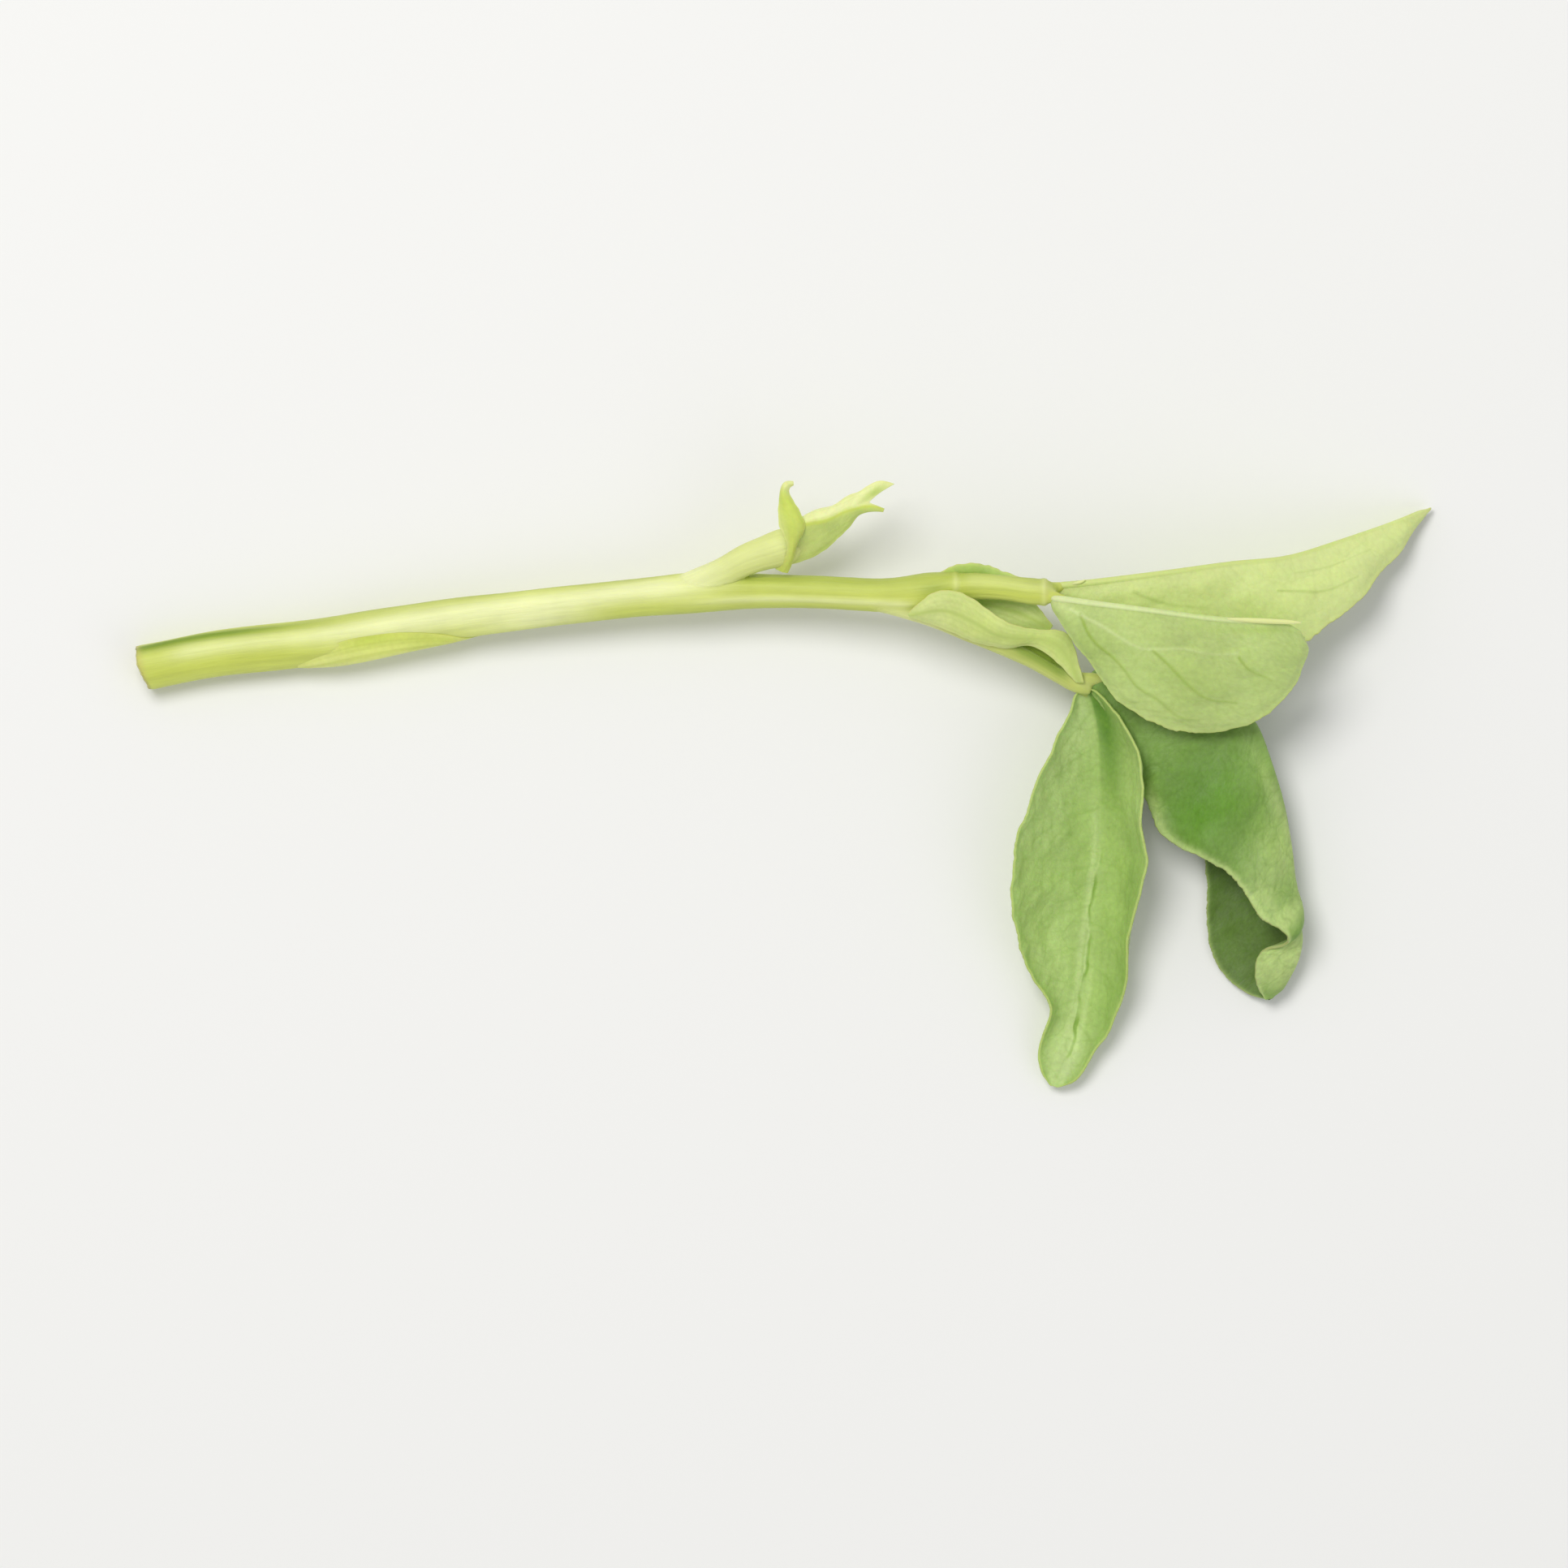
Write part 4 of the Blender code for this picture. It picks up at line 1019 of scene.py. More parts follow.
def stipules(material):
    """The two stipules of the upper node and the small one at the end leaf."""
    front = {
        "pale": ((0.1, 0.0, 0.14, 1.5, 0.8), (0.55, -0.9, 0.4, 0.4, 0.5), (0.45, 0.7, 0.3, 0.5, 0.4)),
        "deep": ((0.75, 0.0, 0.2, 0.6, 0.15),),
    }
    back = {"deep": ((0.5, 0.2, 0.6, 1.5, 0.75),), "pale": ((0.8, 0.0, 0.2, 1.0, 0.4),)}
    small = {"pale": ((0.5, 0.0, 0.6, 1.2, 1.0),)}
    for side, upper, lower, arch, wall, seed, veins, marks in (
        ("front", STIPULE_FRONT_UPPER, STIPULE_FRONT_LOWER, 0.25, 0.22, 71, 7, front),
        ("back", STIPULE_BACK_UPPER, STIPULE_BACK_LOWER, 0.25, 0.20, 72, 5, back),
        ("small", STIPULE_SMALL_UPPER, STIPULE_SMALL_LOWER, -0.1, 0.18, 73, 5, small),
    ):
        lines = (middle_line(upper, lower, arch), upper, lower)
        small_piece(
            side + "_stipule", "stipule_" + side, material, lines, crease=0.6, spread=0.8,
            wall=wall, clear=0.05, seed=seed, veins=veins, marks=marks,
        )


def side_leaves(material):
    """The side shoot's folded, forked young leaf and the hooked scale that clasps its base."""
    sheath = (SHEATH_FOLD, SHEATH_NEAR, SHEATH_FAR)
    hook = (HOOK_FOLD, HOOK_NEAR, HOOK_FAR)
    upper_prong = {"dull": ((0.95, -0.55, 0.09, 0.30, 0.9), (0.84, -0.35, 0.07, 0.2, 0.35))}
    crest = {
        "pale": ((0.98, 0.0, 0.09, 2.0, 1.3), (0.5, -0.9, 0.2, 0.4, 0.5)),
        "deep": ((0.45, 0.5, 0.15, 0.4, 0.3),),
    }
    small_piece(
        "forked_leaf", "side_sheath", material, sheath, crease=0.15, spread=0.9, wall=0.14,
        clear=0.04, seed=81, veins=6, marks=upper_prong, notch=0.17, ridge=0.4, halves=("deep", "pale"),
    )
    small_piece(
        "hooked_blade", "hooked_scale", material, hook, crease=0.3, spread=1.0, wall=0.13,
        clear=0.02, seed=82, veins=3, marks=crest, relief=0.0, ridge=0.2,
    )


# Stem


def ribbed_rings(path, along, around, lift=0.0, ribbed=1.0):
    """Rings of a four ribbed stem, at shares of its length and angles from its top towards +Y.

    radius = r (1 + ribbed (RIB_HEIGHT cos 4a + RIB_EDGE cos 8a)), where a is the angle less RIB_TURN.
    """
    small = 0.001
    line = spline(path, along)
    ahead = spline(path, np.minimum(along + small, 1.0))[:, :3]
    behind = spline(path, np.maximum(along - small, 0.0))[:, :3]
    heading = unit(ahead - behind)
    sideways = unit(np.cross((0.0, 0.0, 1.0), heading))
    upward = np.cross(heading, sideways)
    around = np.broadcast_to(around, (len(along), np.shape(around)[-1]))
    turned = around - RIB_TURN
    ribs = 1 + ribbed * (RIB_HEIGHT * np.cos(4 * turned) + RIB_EDGE * np.cos(8 * turned))
    reach = (line[:, 3:] * ribs + lift)[..., None]
    turn = around[..., None]
    return line[:, None, :3] + reach * (np.cos(turn) * upward[:, None] + np.sin(turn) * sideways[:, None])


def stem_rings(path, ribbed=1.0):
    """Rings at nearly equal steps along a whole stem."""
    length = np.linalg.norm(np.diff(np.array(path)[:, :3], axis=0), axis=1).sum()
    along = np.linspace(0, 1, int(length / RING_STEP))
    around = np.linspace(0, 2 * np.pi, STEM_SIDES, endpoint=False)
    return ribbed_rings(path, along, around, ribbed=ribbed)


def cut_off(rings):
    """Moves a stem's first rings along it, so that the cut is nearly square at the top edge and runs back
    in a curve towards the bottom edge.

    Where y is d less than CUT_TOP, the cut moves by CUT_CURVE (d - CUT_BEND)^CUT_POWER - CUT_LEAN d.
    """
    heading = unit(rings[1].mean(axis=0) - rings[0].mean(axis=0))
    below = CUT_TOP - rings[0, :, 1]
    shift = CUT_CURVE * np.maximum(below - CUT_BEND, 0) ** CUT_POWER - CUT_LEAN * below
    fade = np.linspace(1, 0, CUT_RINGS)[:, None, None]
    cut = rings.copy()
    cut[:CUT_RINGS] += shift[:, None] * heading * fade
    return cut


def fused_mesh(name, tubes):
    """Points and quads of several closed tubes fused into one skin of even cells and smoothed."""
    corners = []
    faces = []
    first = 0
    for rings in tubes:
        count, sides = rings.shape[:2]
        quads, triangles = ring_faces(count, sides)
        poles = np.array([rings[0].mean(axis=0), rings[-1].mean(axis=0)])
        corners.append(np.concatenate([rings.reshape(-1, 3), poles]))
        faces += (quads + first).tolist() + (triangles + first).tolist()
        first += count * sides + 2
    mesh = bpy.data.meshes.new(name)
    mesh.from_pydata(np.concatenate(corners).tolist(), [], faces)
    rough = bpy.data.objects.new(name, mesh)
    bpy.context.scene.collection.objects.link(rough)
    remesh = rough.modifiers.new("skin", "REMESH")
    remesh.mode = "VOXEL"
    remesh.voxel_size = VOXEL
    smooth = rough.modifiers.new("smooth", "SMOOTH")
    smooth.factor = SMOOTH_SHARE
    smooth.iterations = SMOOTHING
    graph = bpy.context.evaluated_depsgraph_get()
    skin = bpy.data.meshes.new_from_object(rough.evaluated_get(graph))
    points = np.empty(len(skin.vertices) * 3)
    skin.vertices.foreach_get("co", points)
    quads = np.empty(len(skin.loops), int)
    skin.loops.foreach_get("vertex_index", quads)
    bpy.data.objects.remove(rough)
    bpy.data.meshes.remove(mesh)
    bpy.data.meshes.remove(skin)
    return points.reshape(-1, 3), quads.reshape(-1, 4)


def beside_path(path, points):
    """For points near a stem: the length to their foot on its middle line, the ring angle, the distance
    from the line over its radius there, and the direction away from the line.

    The foot is first looked up by x, then moved three times by the part of the offset along the line.
    """
    line = spline(path, np.linspace(0, 1, LINE_POINTS))
    steps = np.linalg.norm(np.diff(line[:, :3], axis=0), axis=1)
    lengths = np.concatenate([[0.0], np.cumsum(steps)])
    headings = unit(np.gradient(line[:, :3], axis=0))
    foot = np.interp(points[:, 0], line[:, 0], lengths)
    for _ in range(3):
        centre = np.stack([np.interp(foot, lengths, line[:, k]) for k in range(4)], axis=1)
        heading = unit(np.stack([np.interp(foot, lengths, headings[:, k]) for k in range(3)], axis=1))
        offset = points - centre[:, :3]
        along = (offset * heading).sum(axis=1)
        foot = np.clip(foot + along, 0, lengths[-1])
    distance = np.linalg.norm(offset, axis=1) / np.maximum(centre[:, 3], LEAST_RADIUS)
    offset = offset - along[:, None] * heading
    sideways = unit(np.cross((0.0, 0.0, 1.0), heading))
    upward = np.cross(heading, sideways)
    angle = np.arctan2((offset * sideways).sum(axis=1), (offset * upward).sum(axis=1))
    return foot, angle, distance, unit(offset)


def strip(angle, middle, width):
    """A bell curve of the angle round a stem."""
    return bell(np.angle(np.exp(1j * (angle - middle))), 0, width)


def stem_skin(material):
    """The stem and all stalks as one skin, with fine ribs, node rings and the petiole's channel.

    Each point belongs to the stem, the side stalk and the petiole in shares that are bell curves of its
    distance from their middle lines over their radius, scaled to a sum of 1. Heights and tones are sums
    of bands and rings, and some of the tones are painted highlights and painted shade.
    """
    stalks = (SIDE_STALK, PETIOLE, FRONT_STALK, BACK_STALK, TROUGH_STALK, DROOPING_STALK)
    tubes = [cut_off(stem_rings(STEM))] + [stem_rings(path, 0.4) for path in stalks]
    points, quads = fused_mesh("rough_stem", tubes)
    paths = (STEM, SIDE_STALK, PETIOLE)
    feet, angles, distances, aways = zip(*(beside_path(path, points) for path in paths))
    apart = np.stack(distances) ** 2
    share = np.exp(-(apart - apart.min(axis=0)) / CHANGE_WIDTH**2)
    share = share / share.sum(axis=0)
    main, stalk, petiole = share
    x, y = points[:, 0], points[:, 1]
    measures = {"x": x, "length": feet[STEM_TUBE]}

    def bands(*rows):
        total = np.zeros(len(points))
        for tube, middle, width, amount, *ramps in rows:
            band = amount * share[tube] * strip(angles[tube], middle, width)
            for measure, low, high in ramps:
                band *= step(measures[measure], low, high)
            total += band
        return total

    away = unit(sum(part[:, None] * direction for part, direction in zip(share, aways)))
    fine = np.zeros(len(points))
    for part, turn, run in zip(share, angles, feet):
        wander = 0.3 * np.sin(run * 0.35) + 0.2 * np.sin(run * 0.9 + 1)
        fine += part * sum(rise * np.cos(count * turn + way * wander) for rise, count, way in FINE_RIBS)
    fine = fine * step(x, 20.5, 18.5)
    lip = 0.06 * bell(x, NODE_X, 0.16) - 0.05 * step(x, NODE_X + 0.1, NODE_X + 0.3) * step(x, 13.8, 12.8)
    ring = main * bell(x, END_RING_X, 0.22) * step(y, 12.2, 12.8)
    pale_rib = bands(PALE_RIB)
    lumps = 0.02 * swell(points * (0.35, 1, 1), 2.0, 91)
    height = fine + main * lip + 0.09 * ring - 0.38 * bands(CHANNEL) + 0.05 * pale_rib
    height = height + 0.14 * bands(COLLAR) + lumps
    points = points + height[:, None] * away
    points[:, 2] = np.maximum(points[:, 2], FLOOR)

    grain = np.zeros((len(points), 3))
    for part, turn, run, shift in zip(share, angles, feet, TUBE_SHIFTS):
        turned = (PATTERN_RADIUS * np.cos(turn), PATTERN_RADIUS * np.sin(turn))
        grain += part[:, None] * np.stack([run + shift, *turned], axis=1)
    rib = sum(part * (0.5 + 0.5 * np.cos(4 * (turn - RIB_TURN))) for part, turn in zip(share, angles))
    angle = angles[STEM_TUBE]
    channel_shade = bands(CHANNEL_SHADE)
    # The first three deep bands are painted shade along the stem's left edge
    deep = bands(*DEEP_BANDS) + main * strip(angle, 0.20, 0.30) * bell(x, 10.6, 1.1) * 0.35
    # channel_shade is painted shade on the petiole under the front stipule
    deep += petiole * 0.24 * step(x, 12, 15) + 1.4 * channel_shade
    # A broad painted highlight along the stem's top, from near the cut to the side stalk
    highlight_angle = angle - 0.25 * step(x, -18, -10)
    # The first two pale bands and pale_rib are painted highlights
    pale = bands(*PALE_BANDS) + 0.65 * pale_rib + 0.25 * ring
    pale += main * strip(highlight_angle, 0.20, 0.75) * step(measures["length"], 9, 22) * step(x, -2, -9)
    pale += main * 0.35 * bell(x, NODE_X + 0.05, 0.25) * strip(angle, 0.2, 0.8)
    # The side stalk is pale where it joins the stem; further on it is paler on its top than on its sides,
    # which is painted light
    joined = step(x, -3.0, -6.5)
    side = strip(angles[SIDE_TUBE], 0.2, 1.3)
    pale += stalk * (0.9 * joined + (0.22 + 0.34 * side) * (1 - joined))
    pale += (petiole - np.clip(channel_shade, 0, 1)) * (0.22 + 0.3 * step(x, 13.5, 10.0))
    tan = ring * 0.45 * step(x, 18.6, 18.85) + main * bell(measures["length"], 0.0, 0.30) * 0.8
    tan += petiole * 0.25 * bell(x, 20.6, 0.25) * strip(angles[PETIOLE_TUBE], -0.6, 0.6)
    tones = {"rib": rib, "deep": deep, "pale": pale, "tan": tan}
    fields = {"grain_mm": grain, **{key: np.clip(tone, 0, 1) for key, tone in tones.items()}}
    piece = make_piece("stem_skin", points, quads, np.zeros((0, 3), int), fields, material)
    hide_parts("main_stem")


def cut_face(material):
    """The cut end: a thin plate set into the skin, with a soft raised rim and a hollowed pith.

    A ring's point at share q of the radius lies at centre + q (outline - centre). It is pushed out along
    the stem by a bell curve of q near the rim and by small lumps, and drawn in by a hollow as 1 - q^2.
    """
    outline = cut_off(stem_rings(STEM))[0]
    centre = outline.mean(axis=0)
    heading = unit(np.array(STEM[1][:3]) - np.array(STEM[0][:3]))
    outline = centre + (outline - centre) * CUT_INSET
    share = np.concatenate([np.linspace(0.04, 0.8, 14), np.linspace(0.83, 1.0, 9)])
    rings = centre + share[:, None, None] * (outline - centre)
    lumps = 0.030 * swell(rings, 0.7, 101) + 0.018 * swell(rings, 0.3, 102)
    out = 0.03 + 0.05 * bell(share, 0.90, 0.08)[:, None] - 0.06 * (1 - share[:, None] ** 2) + lumps
    front = rings - out[..., None] * heading
    side = np.stack([outline + depth * heading for depth in (0.0, 0.15, 0.4)])
    back = side[-1].mean(axis=0) + (side[-1] - side[-1].mean(axis=0)) * 0.3
    all_rings = np.concatenate([front, side, back[None]])
    all_rings[..., 2] = np.maximum(all_rings[..., 2], FLOOR)
    radial = np.concatenate([share, np.ones(4)])
    rim = np.repeat(bell(radial, 1.0, 0.10)[:, None], len(outline), axis=1)
    pith = np.repeat(1 - radial[:, None], len(outline), axis=1)
    closed_rings("cut_face", all_rings, {"rim": rim, "pith": pith}, material)


def pressed_scale(material):
    """The scale leaf wrapped round the lower stem: a blade that follows the stem's rings.

    Its margin's angle is read from PRESSED_MARGIN and eased by 1-2-1 means. It lies PRESSED_LIFT above
    the ribbed skin, most at its middle and near a third of its length, and its margins and base sink in.
    """
    u = np.linspace(0, 1, SMALL_GRID[0])
    s = np.linspace(-1, 1, SMALL_GRID[1])
    shares, turns = np.array(PRESSED_MARGIN).T
    reach = np.interp(u, shares, turns)
    for _ in range(PRESSED_PASSES):
        reach[1:-1] = (reach[:-2] + 2 * reach[1:-1] + reach[2:]) / 4
    around = PRESSED_MIDDLE + (reach - PRESSED_MIDDLE)[:, None] * s
    cover = (step(u, 0.0, 0.08) * step(u, 1.0, 0.9))[:, None]
    belly = 0.5 + 0.5 * np.cos(np.pi * s)[None, :]
    lift = PRESSED_LIFT * cover * belly * (0.5 + 0.5 * bell(u, 0.30, 0.2))[:, None]
    lift = lift - PRESSED_SINK - PRESSED_BASE_SINK * step(u, 0.26, 0.0)[:, None]
    along_stem = PRESSED_FROM + (PRESSED_TO - PRESSED_FROM) * u
    points = ribbed_rings(STEM, along_stem, around, lift)
    outward = unit(np.cross(np.gradient(points, axis=1), np.gradient(points, axis=0)))
    centre = spline(STEM, along_stem)[:, None, :3]
    if (outward * (points - centre)).sum() < 0:
        outward = -outward
    across, along = arc_lengths(points)
    edge_gap = margin_distance(across, s)
    field = parallel_veins(across, s, 9, 0.10, 111) * step(edge_gap, 0, 0.5)
    wall = 0.11 + 0.06 * step(edge_gap, 0, 0.9) + 0.006 * field
    margin = margin_line(edge_gap, 0.18) * step(u, 0.0, 0.3)[:, None] * 0.3
    masks = {
        # The first dark mark is painted shade along the upper margin, where the scale's edge meets the stem
        "deep": spots(u, s, ((0.42, 0.92, 0.22, 0.22, 0.8), (0.75, 0.7, 0.15, 0.3, 0.4))),
        "pale": spots(u, s, ((0.35, 0.1, 0.35, 0.35, 0.6), (0.15, 0.5, 0.14, 0.6, 0.6))),
    }
    fields = blade_fields(across, along, masks, field * 0.5, np.zeros_like(margin), margin)
    points[..., 2] = np.maximum(points[..., 2], LOWEST)
    shell("pressed_scale", points, outward, wall, fields, material)


# Shader helpers

FLOAT = "NodeSocketFloat"
VECTOR = "NodeSocketVector"
COLOUR = "NodeSocketColor"
WHITE = (1.0, 1.0, 1.0, 1.0)


def connect(tree, socket, value):
    """Links a socket to another, or sets it to a number, a vector or a colour."""
    if isinstance(value, bpy.types.NodeSocket):
        tree.links.new(value, socket)
    elif isinstance(value, tuple) and len(value) == 3 and socket.type == "RGBA":
        socket.default_value = (*value, 1.0)
    else:
        socket.default_value = value


def add(tree, kind, sockets=None, **settings):
    """A shader node with its settings, each named socket set to a value or linked to another socket."""
    item = tree.nodes.new(kind)
    for key, value in settings.items():
        setattr(item, key, value)
    for key, value in (sockets or {}).items():
        connect(tree, item.inputs[key], value)
    return item


def mix(tree, factor, first, second):
    """The first colour mixed towards the second by the factor."""
    item = add(tree, "ShaderNodeMix", {0: factor, 6: first, 7: second}, data_type="RGBA", clamp_factor=True)
    return item.outputs[2]


def math(tree, operation, first, second=0.0, third=0.0):
    """A calculation with up to three numbers."""
    return add(tree, "ShaderNodeMath", {0: first, 1: second, 2: third}, operation=operation).outputs[0]


def vectors(tree, operation, first, second):
    """A calculation with two vectors, or with a vector and a number where it is scaled."""
    other = "Scale" if operation == "SCALE" else 1
    return add(tree, "ShaderNodeVectorMath", {0: first, other: second}, operation=operation).outputs[0]


def noise(tree, vector, scale, detail):
    """Soft noise about 0.5, as a number."""
    sockets = {"Vector": vector, "Scale": scale, "Detail": detail}
    return add(tree, "ShaderNodeTexNoise", sockets).outputs["Fac"]


def faded(tree, mask, amount, base, colour):
    """The base colour mixed towards another where a mask is high, by at most the amount."""
    return mix(tree, math(tree, "MULTIPLY", mask, amount), base, colour)


def remap(tree, value, low, high, to_low=0.0, to_high=1.0):
    """A number taken from one range to another and held inside it."""
    sockets = {"Value": value, "From Min": low, "From Max": high, "To Min": to_low, "To Max": to_high}
    return add(tree, "ShaderNodeMapRange", sockets, clamp=True).outputs["Result"]


def masks_of(tree, *names):
    """The mesh attributes of those names, as numbers."""
    return {name: add(tree, "ShaderNodeAttribute", attribute_name=name).outputs["Fac"] for name in names}


def pattern_of(tree, name):
    """A mesh attribute as the vector that patterns read, in millimetres."""
    return add(tree, "ShaderNodeAttribute", attribute_name=name).outputs["Vector"]


def group(name, inputs, outputs):
    """An empty shader node group with its named sockets, and its input and output nodes."""
    tree = bpy.data.node_groups.new(name, "ShaderNodeTree")
    for key, kind, value in inputs:
        socket = tree.interface.new_socket(key, in_out="INPUT", socket_type=kind)
        if value is not None:
            socket.default_value = value
    for key, kind in outputs:
        tree.interface.new_socket(key, in_out="OUTPUT", socket_type=kind)
    return tree, tree.nodes.new("NodeGroupInput").outputs, tree.nodes.new("NodeGroupOutput").inputs


def place(tree, shared, sockets):
    """A shared node group placed in a material with its own values."""
    item = tree.nodes.new("ShaderNodeGroup")
    item.node_tree = shared
    for key, value in sockets.items():
        connect(tree, item.inputs[key], value)
    return item.outputs


def mottled(tree, groups, vector, scale, detail, amount):
    """The tone of soft patches in a material."""
    sockets = {"Vector": vector, "Scale": scale, "Detail": detail, "Amount": amount}
    return place(tree, groups["mottle"], sockets)["Tone"]


def netted(tree, groups, vector, cells, line, warp):
    """The mask and cushions of a net of veins in a material."""
    sockets = {"Vector": vector, "Cells per mm": cells, "Line": line, "Warp": warp}
    return place(tree, groups["veinlets"], sockets)


def streaked(tree, groups, vector, scale, stretch):
    """The tone of fibres in a material."""
    return place(tree, groups["streaks"], {"Vector": vector, "Scale": scale, "Stretch": stretch})["Tone"]


def shaded(tree, groups, colour, tone):
    """A colour shaded by a tone in a material."""
    return place(tree, groups["shade"], {"Color": colour, "Tone": tone})["Color"]


def veinlet_group():
    """Net of fine veins: the edges of random cells on a warped sheet, as a mask, and cushions between."""
    inputs = (
        ("Vector", VECTOR, None), ("Cells per mm", FLOAT, 1.2), ("Line", FLOAT, 0.08), ("Warp", FLOAT, 0.3),
    )
    tree, given, result = group("veinlets", inputs, (("Mask", FLOAT), ("Cushion", FLOAT)))
    warp = add(tree, "ShaderNodeTexNoise", {"Vector": given["Vector"], "Scale": 1.1, "Detail": 2.0})
    shift = vectors(tree, "SUBTRACT", warp.outputs["Color"], (0.5, 0.5, 0.5))
    moved = vectors(tree, "ADD", given["Vector"], vectors(tree, "SCALE", shift, given["Warp"]))
    sockets = {"Vector": moved, "Scale": given["Cells per mm"]}
    cells = add(tree, "ShaderNodeTexVoronoi", sockets, feature="DISTANCE_TO_EDGE", voronoi_dimensions="3D")
    edge = cells.outputs["Distance"]
    connect(tree, result["Mask"], remap(tree, edge, 0.0, given["Line"], 1.0, 0.0))
    connect(tree, result["Cushion"], remap(tree, edge, 0.0, 0.3))
    return tree


def mottle_group():
    """Soft patches of tone: noise centred on 0, so that it can darken and lighten."""
    inputs = (("Vector", VECTOR, None), ("Scale", FLOAT, 1.0), ("Detail", FLOAT, 3.0), ("Amount", FLOAT, 1.0))
    tree, given, result = group("tone_patches", inputs, (("Tone", FLOAT),))
    tone = remap(tree, noise(tree, given["Vector"], given["Scale"], given["Detail"]), 0.3, 0.7, -1.0, 1.0)
    connect(tree, result["Tone"], math(tree, "MULTIPLY", tone, given["Amount"]))
    return tree


def shade_group():
    """Colour made lighter or darker by a tone about 0, without a change of hue."""
    inputs = (("Color", COLOUR, WHITE), ("Tone", FLOAT, 0.0))
    tree, given, result = group("shaded", inputs, (("Color", COLOUR),))
    factor = math(tree, "ADD", given["Tone"], 1.0)
    connect(tree, result["Color"], vectors(tree, "SCALE", given["Color"], factor))
    return tree


def bloom_group():
    """The thin wax on a leaf: colour greyed towards the wax where wide and fine noise are high."""
    inputs = (
        ("Color", COLOUR, WHITE), ("Wax", COLOUR, WHITE), ("Amount", FLOAT, 0.2), ("Vector", VECTOR, None),
    )
    tree, given, result = group("wax_bloom", inputs, (("Color", COLOUR),))
    wide = remap(tree, noise(tree, given["Vector"], 0.35, 3.0), 0.3, 0.7, 0.2, 1.0)
    fine = remap(tree, noise(tree, given["Vector"], 5.0, 2.0), 0.35, 0.65, 0.6, 1.0)
    cover = math(tree, "MULTIPLY", math(tree, "MULTIPLY", wide, fine), given["Amount"])
    connect(tree, result["Color"], mix(tree, cover, given["Color"], given["Wax"]))
    return tree


def streak_group():
    """Fibres that run along a stem: noise stretched along its length, centred on 0."""
    inputs = (("Vector", VECTOR, None), ("Scale", FLOAT, 3.0), ("Stretch", FLOAT, 0.06))
    tree, given, result = group("fibre_streaks", inputs, (("Tone", FLOAT),))
    stretch = add(tree, "ShaderNodeCombineXYZ", {"X": given["Stretch"], "Y": 1.0, "Z": 1.0})
    long = vectors(tree, "MULTIPLY", given["Vector"], stretch.outputs[0])
    connect(tree, result["Tone"], remap(tree, noise(tree, long, given["Scale"], 4.0), 0.3, 0.7, -1.0, 1.0))
    return tree


def new_material(name):
    """A new material with its node tree and its shader."""
    material = bpy.data.materials.new(name)
    material.use_nodes = True
    return material, material.node_tree, material.node_tree.nodes["Principled BSDF"]


def tissue(tree, shader, colour, roughness, relief, strength, height):
    """Joins colour, roughness and relief, of that height in millimetres, to a material's shader."""
    bump = add(tree, "ShaderNodeBump", {"Height": relief, "Strength": strength, "Distance": height * MM})
    sockets = {"Base Color": colour, "Roughness": roughness, "Normal": bump.outputs["Normal"]}
    for key, value in sockets.items():
        connect(tree, shader.inputs[key], value)


def fleshy(shader, weight, radius, depth):
    """Light that scatters in thin green tissue, with its depth in millimetres."""
    shader.inputs["Subsurface Weight"].default_value = weight
    shader.inputs["Subsurface Radius"].default_value = radius
    shader.inputs["Subsurface Scale"].default_value = depth * MM


def leaf_material(name, groups, colours, net=0.16, bloom=0.12, rough=0.5, contrast=1.0, gloss=0.28, rim=0.7):
    """Leaf tissue: upper and under colours, tone patches, pale ribs, darker veins, margin, net and wax.

    Net, bloom, contrast and rim are the strengths of the fine veins, wax, patches and margin.
    """
    material, tree, shader = new_material(name)
    sheet = pattern_of(tree, "blade_mm")
    mask = masks_of(tree, "under", "dull", "deep", "pale", "vein", "rib", "margin")
    patches = mottled(tree, groups, sheet, 0.3, 4.0, 0.09 * contrast)
    grain = mottled(tree, groups, sheet, 2.8, 3.0, 0.07 * contrast)
    coarse = netted(tree, groups, sheet, 0.55, 0.07, 0.9)
    fine = netted(tree, groups, sheet, 1.9, 0.12, 0.3)
    base = mix(tree, mask["under"], colours["upper"], colours["under"])
    # On some leaflets the deep, pale and dull masks carry painted shade and painted light
    for key, amount in (("deep", 1.0), ("pale", 0.8), ("dull", 0.9)):
        if key in colours:
            base = faded(tree, mask[key], amount, base, colours[key])
    base = shaded(tree, groups, base, math(tree, "ADD", patches, grain))
    wax = {"Color": base, "Wax": colours["wax"], "Amount": bloom, "Vector": sheet}
    base = place(tree, groups["bloom"], wax)["Color"]
    web = math(tree, "MULTIPLY_ADD", fine["Mask"], net * 0.45, math(tree, "MULTIPLY", coarse["Mask"], net))
    base = mix(tree, web, base, colours["vein"])
    for key, amount in (("vein", 0.85), ("rib", 0.8), ("margin", rim)):
        base = faded(tree, mask[key], amount, base, colours[key])
    base = faded(tree, remap(tree, mask["margin"], 0.65, 1.0), 0.8 * rim, base, colours["edge"])
    relief = math(tree, "MULTIPLY_ADD", fine["Cushion"], 0.5, math(tree, "MULTIPLY", coarse["Cushion"], 0.7))
    relief = math(tree, "MULTIPLY_ADD", noise(tree, sheet, 9.0, 2.0), 0.6, relief)
    tissue(tree, shader, base, math(tree, "MULTIPLY_ADD", grain, 0.8, rough), relief, 0.35, 0.05)
    shader.inputs["Specular IOR Level"].default_value = gloss
    fleshy(shader, 0.25, LEAF_SCATTER, 0.5)
    return material


